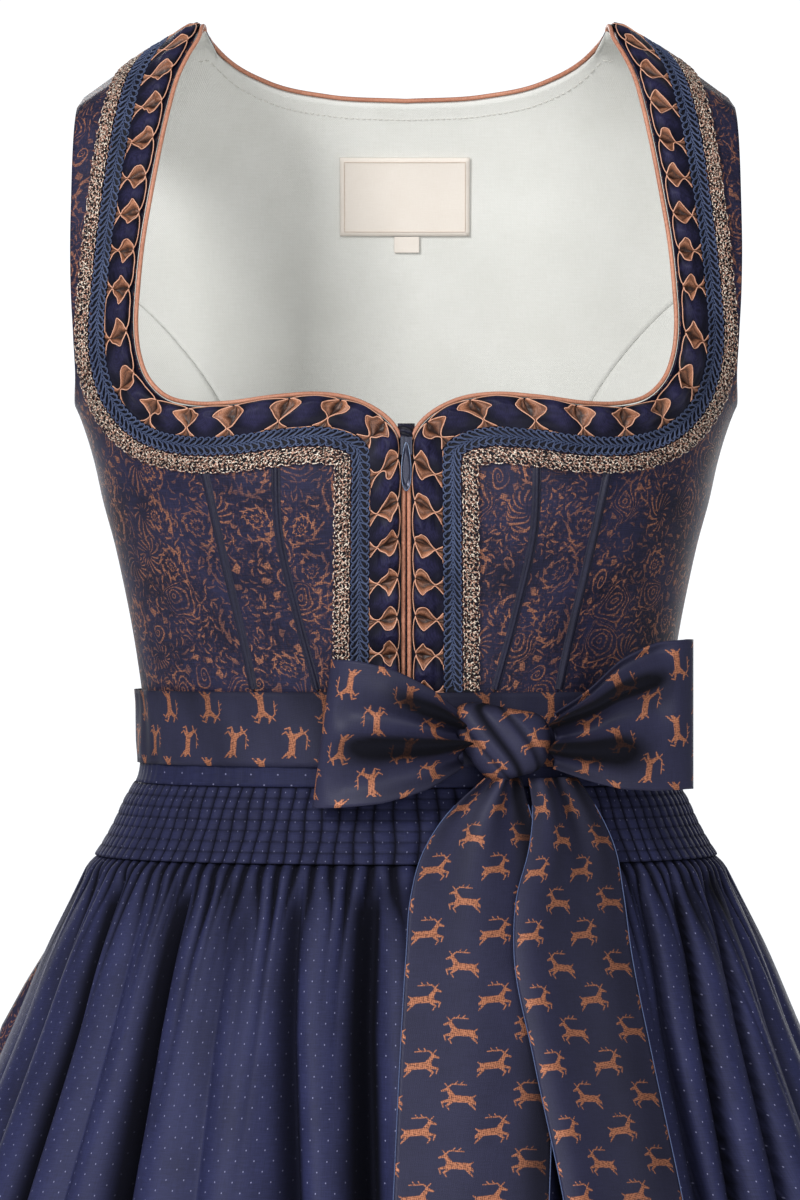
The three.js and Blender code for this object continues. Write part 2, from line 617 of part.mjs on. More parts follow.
// Back rows run level below the armholes and follow the neckline and shoulders above.
// A row's x is worked out at its own height, so that the edges lie on the armhole and the seam.
function backCentrePlaces() {
  const edgeX = (z) => {
    const seam = z < BACK_ROWS[0] ? smoothValue(SEAM_BACK, 'z', 'x', z) - SEAM_GAP / 2 : Infinity;
    return Math.min(seam, armholeX(Math.min(z, SHOULDER_END_Z)));
  };
  const edge = (x) => {
    if (Math.abs(x) > SHOULDER_INNER_X) return 0;
    return PANEL_EDGE * Math.hypot(1, backNeckZ(x) - backNeckZ(Math.abs(x) + 1));
  };
  const rows = [
    { drop: 0, level: 0 }, { drop: 1, level: 0 }, { drop: 5, level: 0.03 }, { drop: 12, level: 0.1 },
    { drop: 25, level: 0.3 }, { drop: 46, level: 0.7 },
  ];
  const half = BACK_COLUMNS.map((x) => x / SHOULDER_OUTER_X);
  const shares = [...[...half].reverse().map((share) => -share), ...half.slice(1)];
  const places = rows.map(({ drop, level }) => {
    const outerZ = SHOULDER_END_Z - drop;
    return shares.map((share) => {
      const x = share * edgeX(outerZ);
      return [x, mix(backNeckZ(x) - edge(x), SHOULDER_END_Z, level) - drop];
    });
  });
  for (const z of [-96, ...BACK_ROWS, WAIST_Z + SEAM_GAP / 2]) {
    places.push(shares.map((share) => [share * edgeX(z), z]));
  }
  return places;
}

function backSidePlaces(columns) {
  const tip = BACK_ROWS[0] - SEAM_GAP;
  const first = rowAcross(armholeX(tip), tip, armholeX(tip), tip, columns);
  const rest = [...BACK_ROWS.slice(1), WAIST_Z + SEAM_GAP / 2].map((z) => {
    const seam = smoothValue(SEAM_BACK, 'z', 'x', z) + SEAM_GAP / 2;
    return rowAcross(seam, z, armholeX(z), z, columns);
  });
  return [first, ...rest];
}

function bodicePieces() {
  const pieces = [];
  const zipEdge = () => NECK_EDGE[NECK_EDGE.length - 1].x + PANEL_EDGE;
  const inner = (z) => smoothValue(SEAM_INNER, 'z', 'x', z);
  const outer = (z) => smoothValue(SEAM_OUTER, 'z', 'x', z);
  const half = SEAM_GAP / 2;
  const centre = frontPlaces(zipEdge, (z) => inner(z) - half, 5);
  const middle = frontPlaces((z) => inner(z) + half, (z) => outer(z) - half, 4);
  const sideFront = sideFrontPlaces(7);
  const backSide = backSidePlaces(4);
  for (const [side, sign] of SIDES) {
    const front = [
      [`front_centre_${side}`, centre], [`front_mid_${side}`, middle], [`front_side_${side}`, sideFront],
    ];
    for (const [name, places] of front) {
      pieces.push(panel(name, COLOURS.brocade, mirrored(places, sign), FRONT, LAYER.panel));
    }
    const back = mirrored(backSide, sign);
    pieces.push(panel(`back_side_${side}`, COLOURS.brocade, back, BACK, LAYER.panel));
    pieces.push(panel(`lining_back_side_${side}`, COLOURS.lining, back, BACK, LAYER.lining));
  }
  const backCentre = backCentrePlaces();
  pieces.push(panel('back_centre', COLOURS.brocade, backCentre, BACK, LAYER.panel));
  pieces.push(panel('lining_back_centre', COLOURS.lining, backCentre, BACK, LAYER.lining));
  for (const { name, left, right, top, bottom, layer } of LABELS) {
    const places = [top, bottom].map((z) => [0, 0.5, 1].map((u) => [mix(left, right, u), z]));
    pieces.push(panel(name, COLOURS.label, places, BACK, layer));
  }
  return pieces;
}

function trimPieces() {
  const pieces = [];
  const frogCounts = FROG_REPEATS.map((repeats) => repeats * 3);
  const braidCounts = [16, 10, 8, 10];
  const laceCounts = [21, 13, 7, 8];
  const pipingLift = 2.2;
  for (const [side, sign] of SIDES) {
    pieces.push(trim(`frog_trim_${side}`, COLOURS.ruffle, sign, FROG_BAND, frogCounts, frogRelief));
    pieces.push(trim(`gimp_${side}`, COLOURS.gimp, sign, GIMP_BAND, braidCounts, gimpRelief));
    pieces.push(trim(
      `lace_${side}`, COLOURS.lace, sign, LACE_BAND, laceCounts, laceRelief, LACE_BASE,
    ));
    const line = trimLine(PIPING_RADIUS, [14, 10, 12, 8]);
    const points = line.map(([x, z]) => bodyPoint(sign * x, z, FRONT, pipingLift));
    const normals = line.map(([x, z]) => bodyNormal(sign * x, bodyY(x, z, FRONT), z, FRONT));
    pieces.push(piping(`neck_piping_${side}`, COLOURS.copper, points, normals));
    for (const [name, table] of [['inner', SEAM_INNER], ['outer', SEAM_OUTER]]) {
      const seam = range(8).map((k) => {
        const z = mix(SEAM_PIPING_TOP_Z, SEAM_PIPING_END_Z, k / 7);
        return [sign * smoothValue(table, 'z', 'x', z), z];
      });
      const lift = TRIM_BASE + PIPING_RADIUS;
      pieces.push(piping(
        `seam_piping_${name}_${side}`, COLOURS.navy, seam.map(([x, z]) => bodyPoint(x, z, FRONT, lift)),
        seam.map(([x, z]) => bodyNormal(x, bodyY(x, z, FRONT), z, FRONT)),
      ));
    }
  }
  const half = [...BACK_COLUMNS.filter((x) => x < SHOULDER_INNER_X), SHOULDER_INNER_X + PIPING_RADIUS];
  const back = [...[...half].reverse().map((x) => -x), ...half.slice(1)].map((x) => {
    const slope = Math.abs(x) < SHOULDER_INNER_X ? backNeckZ(x) - backNeckZ(Math.abs(x) + 1) : 0;
    return [x, backNeckZ(x) - PIPING_RADIUS * Math.hypot(1, slope)];
  });
  pieces.push(piping(
    'neck_piping_back', COLOURS.copper, back.map(([x, z]) => bodyPoint(x, z, BACK, pipingLift)),
    back.map(([x, z]) => bodyNormal(x, bodyY(x, z, BACK), z, BACK)),
  ));
  return pieces;
}

function extruded(name, look, outline, length) {
  const shape = new THREE.Shape(outline.map(([x, y]) => new THREE.Vector2(x, y)));
  const geometry = new THREE.ExtrudeGeometry(shape, { depth: length, bevelEnabled: false });
  const mesh = new THREE.Mesh(geometry, new THREE.MeshStandardMaterial({
    color: look.colour, roughness: look.roughness, metalness: look.metalness,
  }));
  mesh.name = name;
  return mesh;
}

// Zip: a tape behind the slot, a slider on the pipings with two lugs, and the hanging pull
function zipPieces() {
  const heights = [ZIP.top, LOWER_ROWS[0] - ZIP_ROW_DROP, ...LOWER_ROWS.slice(1), ZIP.bottom];
  const tape = heights.map((z) => [-ZIP.tapeHalf, 0, ZIP.tapeHalf].map((x) => [x, z]));
  const front = bodyY(0, (SLIDER.top + SLIDER.bottom) / 2, FRONT);
  const { half, seat, face, stem, lug, lugTop } = SLIDER;
  const profile = [
    [-stem, 1.6], [stem, 1.6], [stem, seat], [half, seat], [half, lugTop], [half - lug, lugTop],
    [half - lug, face], [lug - half, face], [lug - half, lugTop], [-half, lugTop], [-half, seat],
    [-stem, seat],
  ];
  const outline = profile.map(([x, lift]) => [x, lift]);
  const slider = extruded('zip_slider', COLOURS.metal, outline, SLIDER.top - SLIDER.bottom);
  slider.rotation.x = Math.PI;
  slider.position.set(0, front, SLIDER.top);
  const { barWidth, wall: thick, neckZ, length, half: pullHalf } = PULL;
  const round = range(9).map((k) => {
    const turn = mix(-0.15, 1.15, k / 8) * Math.PI;
    return [pullHalf * Math.cos(turn), -length + pullHalf - pullHalf * Math.sin(turn)];
  });
  const bar = [[-0.7, neckZ], [-0.7, -thick / 2], [-barWidth / 2, -thick / 2], [-barWidth / 2, thick / 2]];
  const teardrop = [
    ...bar, ...[...bar].reverse().map(([x, z]) => [-x, z]), ...round,
  ];
  const pull = extruded('zip_pull', COLOURS.metal, teardrop, thick);
  pull.rotation.x = Math.PI / 2;
  pull.position.set(0, front - PULL.axisLift + thick / 2, PULL.axisZ);
  return [panel('zip_tape', COLOURS.navy, tape, FRONT, LAYER.tape), slider, pull];
}

// Depth of the apron's folds at an angle and height: the sum of the valleys, never over one depth
function foldDepth(folds, degrees, z) {
  const { top, middle, low } = FOLD_HEIGHTS;
  const deepest = smoothValue(FOLD_DEPTHS, 'z', 'depth', z);
  const total = folds.reduce((sum, fold) => {
    const upper = mix(fold.middle, fold.top, Math.min((z - middle) / (top - middle), 1.2));
    const lower = mix(fold.middle, fold.low, Math.min((middle - z) / (middle - low), 1.6));
    const centre = z > middle ? upper : lower;
    return sum + fold.depth * Math.exp(-(((degrees - centre) / fold.width) ** 2));
  }, 0);
  return deepest * Math.min(total, 1);
}

function apronPanel() {
  const grid = (out) => APRON_ROWS.map((z) => range(APRON_COLUMNS + 1).map((c) => {
    const degrees = mix(-APRON_HALF_ANGLE, APRON_HALF_ANGLE, c / APRON_COLUMNS);
    return ringPoint(degrees, z, out, foldDepth(APRON_FOLDS, degrees, z));
  }));
  return wall('apron_panel', COLOURS.apron, grid(LAYER.apron[1]), grid(LAYER.apron[0]));
}

// Skirt ring: folds behind, and a smoother front that stays inside the apron's deepest folds
function skirtPiece() {
  const edge = SKIRT_COVERED_ANGLE;
  const front = range(SKIRT_FRONT_COLUMNS).map((c) => mix(-edge, edge, c / SKIRT_FRONT_COLUMNS));
  const backCount = BACK_FOLDS * COLUMNS_PER_FOLD;
  const behind = range(backCount).map((c) => mix(edge, 360 - edge, c / backCount));
  const inward = (degrees, z, index) => {
    const depth = smoothValue(FOLD_DEPTHS, 'z', 'depth', z);
    if (degrees >= edge) {
      const phase = (index - SKIRT_FRONT_COLUMNS) % COLUMNS_PER_FOLD;
      return phase === 0 ? 0 : depth * (phase === 1 ? 0.75 : 0.95);
    }
    const under = THREE.MathUtils.smoothstep(-z, -BAND_BOTTOM_Z - 20, -BAND_BOTTOM_Z + 5);
    const covered = THREE.MathUtils.smoothstep(edge - Math.abs(degrees), 0, 10);
    const fold = index % 2 === 0 ? 0 : 0.25 * depth;
    return covered * (depth * 1.15 + SKIRT_UNDER_APRON * under + fold);
  };
  const grid = (out) => SKIRT_ROWS.map((z) => [...front, ...behind].map((degrees, index) => (
    ringPoint(degrees, z, out, inward(degrees, z, index))
  )));
  return wall('skirt', COLOURS.brocade, grid(LAYER.skirt[1]), grid(LAYER.skirt[0]), true);
}

// Smocked band: pleats pinched along stitched rows, raised over a plain inside
function smocking() {
  const columns = SMOCK_CELLS * 2;
  const rows = SMOCK_CELL_ROWS * 2;
  const at = (c) => mix(-APRON_HALF_ANGLE, APRON_HALF_ANGLE, c / columns);
  const outer = range(rows + 1).map((r) => range(columns + 1).map((c) => {
    const puff = (r % 2) * (c % 2) + 0.25 * (c % 2);
    const z = mix(SMOCK_TOP_Z, SMOCK_BOTTOM_Z, r / rows);
    return ringPoint(at(c), z, SMOCK_BASE + 1 + (SMOCK_RELIEF - 1) * Math.min(puff, 1));
  }));
  const inner = [0, 1].map((share) => range(columns + 1).map((c) => (
    ringPoint(at(c), mix(SMOCK_TOP_Z, SMOCK_BOTTOM_Z, share), SMOCK_BASE - 0.8)
  )));
  return wall('apron_smocking', COLOURS.apron, outer, inner);
}

function bands() {
  const band = (name, look, layer, heights, angles, ring) => {
    const grid = (out) => heights.map((z) => angles.map((degrees) => ringPoint(degrees, z, out)));
    return wall(name, look, grid(layer[1]), grid(layer[0]), ring);
  };
  const bandRows = [BAND_TOP_Z, WAIST_Z, TIE_BOTTOM_Z, BAND_BOTTOM_Z];
  const front = [-APRON_HALF_ANGLE, ...range(31).map((c) => 6 * c - 90), APRON_HALF_ANGLE];
  const round = range(52).map((c) => (360 * c) / 52 - 180);
  return [
    band('apron_waistband', COLOURS.apron, LAYER.waistband, bandRows, front, false),
    band('tie_band', COLOURS.ribbon, LAYER.tie, [TIE_TOP_Z, TIE_BOTTOM_Z], round, true),
  ];
}

// A ribbon loop: rows along the ribbon, with the wall on the inner side of its bend
function bowLoop(name, table) {
  const lines = [-1, -0.35, 0.35, 1];
  const turn = (k) => {
    const before = table[Math.max(k - 1, 0)];
    const after = table[Math.min(k + 1, table.length - 1)];
    const along = new THREE.Vector2(after.x - before.x, after.y - before.y).normalize();
    return new THREE.Vector2(along.y, -along.x);
  };
  const sign = table[4].x < table[0].x ? -1 : 1;
  const face = (inset) => lines.map((v) => table.map(({ x, y, z, half }, k) => {
    const out = turn(k).multiplyScalar(-inset * sign);
    return new THREE.Vector3(x + out.x, y + out.y, z + v * half);
  }));
  return wall(name, COLOURS.ribbon, face(0), face(RIBBON_WALL));
}

function knotPiece() {
  const around = 14;
  const tiers = 7;
  const row = (r) => {
    const tilt = mix(-1, 1, r / (tiers - 1)) * radians(78);
    return range(around).map((c) => {
      const turn = (2 * Math.PI * c) / around;
      const wave = 1 + 0.05 * Math.cos(3 * turn);
      return new THREE.Vector3(
        KNOT.x + KNOT.halfX * Math.cos(tilt) ** 0.4 * Math.cos(turn) * wave,
        KNOT.y + KNOT.halfY * Math.cos(tilt) ** 0.5 * Math.sin(turn) * wave,
        KNOT.z + KNOT.halfZ * Math.sin(tilt),
      );
    });
  };
  const rows = range(tiers).map(row);
  const triangles = [];
  for (const r of range(tiers - 1)) {
    triangles.push(...strip([...rows[r], rows[r][0]], [...rows[r + 1], rows[r + 1][0]]));
  }
  for (const c of range(around - 2)) {
    triangles.push([rows[0][0], rows[0][c + 2], rows[0][c + 1]]);
    triangles.push([rows[tiers - 1][0], rows[tiers - 1][c + 1], rows[tiers - 1][c + 2]]);
  }
  return closedMesh('bow_knot', COLOURS.ribbon, triangles);
}

function bowTail(name, table) {
  const columns = 5;
  const face = (out) => table.map(({ z, left, right, lift }) => range(columns + 1).map((c) => {
    const x = mix(left, right, c / columns);
    const y = bodyY(x, z, FRONT);
    const normal = bodyNormal(x, y, z, FRONT).setZ(0).normalize();
    return new THREE.Vector3(x, y, z).addScaledVector(normal, lift + out);
  }));
  return wall(name, COLOURS.ribbon, face(RIBBON_WALL), face(0));
}

const dirndl = new THREE.Group();
dirndl.add(
  ...bodicePieces(), ...trimPieces(), ...zipPieces(), skirtPiece(), apronPanel(), smocking(), ...bands(),
  bowLoop('bow_loop_left', LOOP_LEFT), bowLoop('bow_loop_right', LOOP_RIGHT), knotPiece(),
  bowTail('tail_left', TAIL_LEFT), bowTail('tail_right', TAIL_RIGHT),
);

export default dirndl;
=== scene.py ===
"""A dirndl in worn form: brocade bodice and skirt, gathered trims, satin apron tied with a bow.

Shapes are worked out in millimetres in the frame's axes: +Z up, -Y the front and +X the
viewer's right, with the origin midway between the shoulders.
"""

import bpy
import numpy as np
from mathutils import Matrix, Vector


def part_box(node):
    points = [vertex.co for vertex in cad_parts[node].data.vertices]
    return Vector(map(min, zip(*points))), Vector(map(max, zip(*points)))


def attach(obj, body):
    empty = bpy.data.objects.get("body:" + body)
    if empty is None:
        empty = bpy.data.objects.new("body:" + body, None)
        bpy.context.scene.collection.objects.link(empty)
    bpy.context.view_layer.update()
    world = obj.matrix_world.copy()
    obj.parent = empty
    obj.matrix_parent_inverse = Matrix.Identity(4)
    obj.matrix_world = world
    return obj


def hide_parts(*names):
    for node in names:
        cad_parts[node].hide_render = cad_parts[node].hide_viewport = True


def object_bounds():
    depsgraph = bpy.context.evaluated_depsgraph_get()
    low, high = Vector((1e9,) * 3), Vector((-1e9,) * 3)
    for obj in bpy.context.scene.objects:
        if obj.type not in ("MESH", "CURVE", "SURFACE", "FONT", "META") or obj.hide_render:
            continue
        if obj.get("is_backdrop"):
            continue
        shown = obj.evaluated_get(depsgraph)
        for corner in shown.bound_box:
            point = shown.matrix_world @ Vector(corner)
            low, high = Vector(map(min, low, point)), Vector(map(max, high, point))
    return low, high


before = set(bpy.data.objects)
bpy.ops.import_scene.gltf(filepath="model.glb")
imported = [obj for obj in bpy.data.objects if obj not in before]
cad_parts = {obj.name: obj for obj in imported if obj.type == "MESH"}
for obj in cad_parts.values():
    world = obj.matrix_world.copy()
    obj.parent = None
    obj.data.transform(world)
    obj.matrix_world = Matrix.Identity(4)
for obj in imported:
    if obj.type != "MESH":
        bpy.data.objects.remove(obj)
cad_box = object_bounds()

MM = 0.001
FRONT, BACK = -1, 1
SIDES = (("left", -1), ("right", 1))
FULL_TURN = 2 * np.pi

# Heights of the garment's lines
SHOULDER_END_Z = -27
UNDERARM_Z = -186
WAIST_Z = -352
TIE_TOP_Z = -328
TIE_BOTTOM_Z = -364
BAND_TOP_Z = -329
BAND_BOTTOM_Z = -373.7
SMOCK_TOP_Z = -374
SMOCK_BOTTOM_Z = -410
APRON_HEM_Z = -960
SKIRT_HEM_Z = -1003
FLOOR_Z = -1006
FLOOR_RADIUS = 3400

# Shoulder line, from the neck end to the armhole end
SHOULDER_INNER = 100
SHOULDER_OUTER = 161
SHOULDER_CURVE = 1.6
SHOULDER_SAG = 7.5
SHOULDER_NEAR = 24
FLAT_ABOVE, FLAT_SHARE = 2.8, 0.65
SEAM_GAP = 0.3

# Half width of the body, and its depth in front and behind, by height
HALF_WIDTHS = np.array([
    (-27, 161), (-42, 180), (-60, 191), (-85, 198), (-113, 199), (-140, 192), (-165, 177), (-186, 162.5),
    (-200, 157), (-213.5, 153), (-233.5, 148.5), (-253.5, 143), (-273.5, 138.5), (-293.5, 134.5),
    (-313.5, 131.2), (-330, 129), (-352, 128.3), (-372, 129.5), (-383, 135.5), (-393, 140),
    (-403, 145.5), (-413, 152), (-433, 163), (-453, 173.5), (-493, 191), (-583, 231), (-700, 277),
    (-850, 328), (-1003, 368),
])
DEPTHS = np.array([
    (0, 46, 50), (-28, 60, 72), (-60, 70, 86), (-100, 78, 94), (-150, 89, 100), (-190, 102, 101),
    (-225, 107, 99), (-270, 102, 95), (-310, 96, 91), (-352, 92.5, 89), (-372, 93.5, 91),
    (-383, 97.5, 96), (-393, 102, 102), (-413, 111, 114), (-433, 120, 126), (-453, 128, 136),
    (-493, 142, 152), (-583, 172, 185), (-700, 206, 220), (-850, 246, 260), (-1003, 280, 294),
])
BUST = {"x": 78, "z": -222, "width": 42, "height": 52, "depth": 12}

# Free edge of the front neckline from the shoulder to the zip and down to the waist
NECK_EDGE = np.array([
    (100, 0), (101, -7), (106, -16), (111, -27), (115.4, -43.8), (119.8, -65.1), (123.8, -87.3),
    (127.3, -109.5), (129.3, -131.6), (130, -149.9), (128.1, -164.6), (123.3, -176.2), (114.3, -184.9),
    (101.6, -188.6), (85.2, -188.9), (62.3, -186.2), (41.9, -185), (26.4, -187.2), (14.4, -192.5),
    (6.5, -199.2), (2.4, -206.9), (1.2, -216), (1.2, -240), (1.2, -300), (1.2, WAIST_Z),
], float)
ARMHOLE = np.array([
    (-27, 161), (-33.5, 161.5), (-53.5, 162.4), (-83.5, 163.0), (-113.5, 163.2), (-133.5, 162.6),
    (-153.5, 161.4), (-173.5, 160.8), (-186, 162.5),
])
BACK_NECK = np.array([(0, -27), (40, -25), (70, -19), (90, -9), (100, 0)], float)
SEAM_INNER = np.array([(-186, 62), (-220, 62), (-247, 61), (-290, 52), (-328, 42), (-352, 36)])
SEAM_OUTER = np.array([(-186, 104), (-224, 95), (-265, 86), (-305, 77), (-352, 68)], float)
SEAM_BACK = np.array([(-112, 163.1), (-130, 138.5), (-160, 110), (-200, 86), (-260, 68), (-352, 54)])
SEAM_PIPING_TOP_Z = -226.5
TAPE_TOP_Z, TAPE_HALF, ZIP_TOP_Z, ZIP_PITCH = -208, 9, -215, 1.1

# Bands of trim as distances from the neckline's free edge, and how far out they lie
TRIM_BASE = 3.5
TRIM_END_Z = TIE_TOP_Z + SEAM_GAP
TRIM_REACH = 38
FROG_EDGE, FROG_WIDTH = 2.5, 15.7
FROG_REPEATS = (9, 4, 4, 7)
RIM_POINTS = 33
GIMP_MIDDLE, GIMP_HALF = 22.95, 4.25
LACE_MIDDLE, LACE_HALF = 32.3, 4.6
STRETCH_STEPS = 18
SQUEEZE, STRAP_SQUEEZE, SQUEEZE_COLUMN, SQUEEZE_REACH = 0.08, 0.13, 150, 62

# Apron folds: angle of each valley at three heights, its width in degrees and its depth
FOLD_TOP_Z, FOLD_MIDDLE_Z, FOLD_LOW_Z = -418, -490, -565
APRON_FOLDS = np.array([
    (-82, -80, -79, 3.2, 0.5), (-70, -69, -68, 3.4, 0.6), (-59, -57, -56, 3.6, 0.9),
    (-48, -47.5, -47, 3.2, 0.45), (-38.8, -38.2, -36.6, 4, 1), (-28, -27, -25.5, 3.2, 0.4),
    (-16.3, -15.2, -12.8, 3.2, 0.75), (-4, -4.4, -3.6, 4, 1), (9, 8, 8, 3.4, 0.6),
    (22, 21, 20, 3.4, 0.7), (33, 33, 33, 3.4, 0.6), (44, 41, 40, 3.2, 0.7), (54, 50, 47, 3.6, 1),
    (66, 60, 56, 3.4, 0.8), (75, 70, 68, 3.4, 0.6), (85, 80, 79, 3, 0.4),
])
APRON_HALF_ANGLE = 92
FOLD_DEPTHS = np.array([
    (-410, 0), (-420, 2.5), (-440, 6), (-500, 12), (-600, 19), (-800, 28), (-1003, 34),
])
BACK_FOLDS = 12
SKIRT_COVERED_ANGLE = 97
APRON_MM_A_DEGREE, SKIRT_MM_A_DEGREE = 6.1, 8.0
SMOCK_CELLS, SMOCK_CELL_ROWS = 57, 7

# Cloth walls, and how far out of the body each layer's outer face lies
CLOTH_WALL, LINING_WALL, APRON_WALL, RIBBON_WALL = 1.2, 0.9, 1.2, 0.7
BODICE_OUT, LINING_OUT, BAND_OUT, TIE_OUT = 2.8, 1.0, 4.7, 6.3
TAIL_LIFT = 1.2

# Bow: rows along each loop with x, y, z and half width; tails by height with two edges and lift
KNOT = {"x": 47.5, "y": -108.7, "z": -351.5, "half_x": 22.6, "half_y": 12.4, "half_z": 17.2}
LOOP_LEFT = np.array([
    (27.1, -111, -351, 13), (10, -121, -350, 24), (-12, -124, -348.5, 32), (-32, -121, -347.5, 35),
    (-43, -115, -347.5, 35.5), (-45, -110, -347.5, 35.5), (-40, -106, -347.5, 35),
    (-20, -105, -348, 33), (5, -105, -350, 25), (27.3, -105.5, -351, 13),
])
LOOP_RIGHT = np.array([
    (70.6, -111, -351, 13), (88, -116, -348, 22), (104, -115, -343, 31), (122, -109, -339.5, 35.5),
    (134, -101, -338.5, 36), (138.5, -93, -338.5, 36), (135, -86.5, -338.5, 36),
    (120, -86, -341, 33), (100, -91, -346, 26), (70.6, -104, -351, 13),
])
TAIL_LEFT = np.array([
    (-368.8, 34, 50, 17), (-385, 19, 56, 11), (-403, 8, 62, 9), (-425, 2, 66, 7.4), (-450, 0, 67, 6),
    (-500, -3, 68, 5.2), (-563, -6, 66, 5.2), (-640, -10, 62, 5.2), (-740, -15, 57, 5.2),
    (-836, -19, 53, 5.2),
])
TAIL_RIGHT = np.array([
    (-368.8, 53, 74, 17), (-385, 56, 85, 13.4), (-403, 55, 94, 11), (-425, 50, 99, 9.4),
    (-450, 49, 103, 8), (-500, 58, 113, 7), (-563, 71, 126, 7), (-640, 83, 140, 7),
    (-740, 95, 156, 7), (-846, 106, 169, 7),
])
LABELS = {"label_main": (-34, 33, -55, -95), "label_size": (-6, 7, -95.3, -103.5)}


# Curves and the body's surface

def mix(start, end, share):
    """A straight blend: start plus the share of the way to end."""
    return start + (end - start) * share


def smooth_step(value, low, high):
    """From 0 at low to 1 at high, with level ends: 3 s squared less 2 s cubed."""
    share = np.clip((value - low) / (high - low), 0, 1)
    return share * share * (3 - 2 * share)


def smooth_curve(table, at, column=1):
    """A table's column at places of its first column: cubic Hermite pieces, where the slope at a
    row is the mean of the slopes beside it, weighted by the other side's step."""
    rows = table[np.argsort(table[:, 0])].astype(float)
    x, y = rows[:, 0], rows[:, column]
    step = np.diff(x)
    rise = np.diff(y) / step
    inner = (step[1:] * rise[:-1] + step[:-1] * rise[1:]) / (step[:-1] + step[1:])
    slope = np.concatenate([rise[:1], inner, rise[-1:]])
    at = np.clip(at, x[0], x[-1])
    i = np.clip(np.searchsorted(x, at, side="right") - 1, 0, len(step) - 1)
    s, h = (at - x[i]) / step[i], step[i]
    value = (2 * s**3 - 3 * s**2 + 1) * y[i] + (s**3 - 2 * s**2 + s) * h * slope[i]
    return value + (3 * s**2 - 2 * s**3) * y[i + 1] + (s**3 - s**2) * h * slope[i + 1]


def through_points(points, count):
    """Centripetal Catmull-Rom curve through points on the first axis: each stretch is a cubic
    whose end slopes come from the neighbours, timed by the root of the distances."""
    p = np.concatenate([2 * points[:1] - points[1:2], points, 2 * points[-1:] - points[-2:-1]])
    place = np.linspace(0, len(points) - 1, count)
    i = np.minimum(place.astype(int), len(points) - 2)
    w = (place - i).reshape((-1,) + (1,) * (points.ndim - 1))
    p0, p1, p2, p3 = p[i], p[i + 1], p[i + 2], p[i + 3]

    def gap(a, b):
        return np.sqrt(np.linalg.norm(b - a, axis=-1, keepdims=True) + 1e-9)

    d0, d1, d2 = gap(p0, p1), gap(p1, p2), gap(p2, p3)
    start = ((p1 - p0) / d0 - (p2 - p0) / (d0 + d1) + (p2 - p1) / d1) * d1
    end = ((p2 - p1) / d1 - (p3 - p1) / (d1 + d2) + (p3 - p2) / d2) * d1
    square = -3 * p1 + 3 * p2 - 2 * start - end
    return p1 + start * w + square * w**2 + (2 * p1 - 2 * p2 + start + end) * w**3


def groove(v, place, width):
    """A bell of height 1 round a place."""
    return np.exp(-(((v - place) / width) ** 2))


def unit(vectors, least=0.0):
    """Vectors at length 1; least keeps a zero vector finite."""
    return vectors / (np.linalg.norm(vectors, axis=-1, keepdims=True) + least)


def lengths(points):
    """Distance along a row of points on the second last axis, from 0."""
    steps = np.linalg.norm(np.diff(points, axis=-2), axis=-1)
    return np.concatenate([np.zeros(steps.shape[:-1] + (1,)), np.cumsum(steps, axis=-1)], axis=-1)


def shoulder_z(x):
    """Height of the shoulder line, which falls by a power of the distance from its neck end."""
    share = np.maximum(np.abs(x) - SHOULDER_INNER, 0) / (SHOULDER_OUTER - SHOULDER_INNER)
    return SHOULDER_END_Z * share**SHOULDER_CURVE


def half_width(z):
    """Half width of the body: a curve through the table, and above it the shoulder's own width."""
    share = np.maximum(z / SHOULDER_END_Z, 0) ** (1 / SHOULDER_CURVE)
    above = mix(SHOULDER_INNER, SHOULDER_OUTER, share) - 5 * np.maximum(z, 0)
    return np.where(z <= SHOULDER_END_Z, smooth_curve(HALF_WIDTHS, z), above)


def section_power(z):
    """Power of the superellipse section, which drops a little from the waist to the skirt."""
    return 2.25 - 0.15 * smooth_step(-z, -BAND_BOTTOM_Z, 200 - BAND_BOTTOM_Z)


def bust(x, z):
    """Two soft mounds: a bell across and up, times a term that fades at the side seams."""
    across, up = (np.abs(x) - BUST["x"]) / BUST["width"], (z - BUST["z"]) / BUST["height"]
    power = section_power(z)
    depth = np.maximum(1 - (np.abs(x) / half_width(z)) ** power, 0) ** (1 / power)
    return BUST["depth"] * depth * (2 - depth) * np.exp(-(across**2 + up**2) / 2)


def depth_at(z, side):
    """Depth of the body in front or behind, by a curve through the table."""
    return smooth_curve(DEPTHS, z, 1 if side == FRONT else 2)


def body_y(x, z, side):
    """Depth of the body at (x, z): a superellipse section, with the bust in front."""
    power = section_power(z)
    share = np.minimum(np.abs(x) / half_width(z), 1)
    y = depth_at(z, side) * (1 - share**power) ** (1 / power)
    return -y - bust(x, z) if side == FRONT else y


def body_normal(x, y, z, side):
    """Direction straight out of the body: the slope of its superellipse field."""

    def field(x, y, z):
        power = section_power(z)
        reach = np.maximum(-y - bust(x, z) if side == FRONT else y, 0)
        return (np.abs(x) / half_width(z)) ** power + (reach / depth_at(z, side)) ** power

    step = 0.4
    moves = ((step, 0, 0), (0, step, 0), (0, 0, step))
    slope = [field(x + a, y + b, z + c) - field(x - a, y - b, z - c) for a, b, c in moves]
    slope[1] = np.where(np.abs(y) < 2 * step, 0, slope[1])
    return unit(np.stack(slope, axis=-1))


def level_normal(x, y, z, side):
    """The direction out of the body, turned level."""
    normal = body_normal(x, y, z, side)
    normal[..., 2] = 0
    return unit(normal)


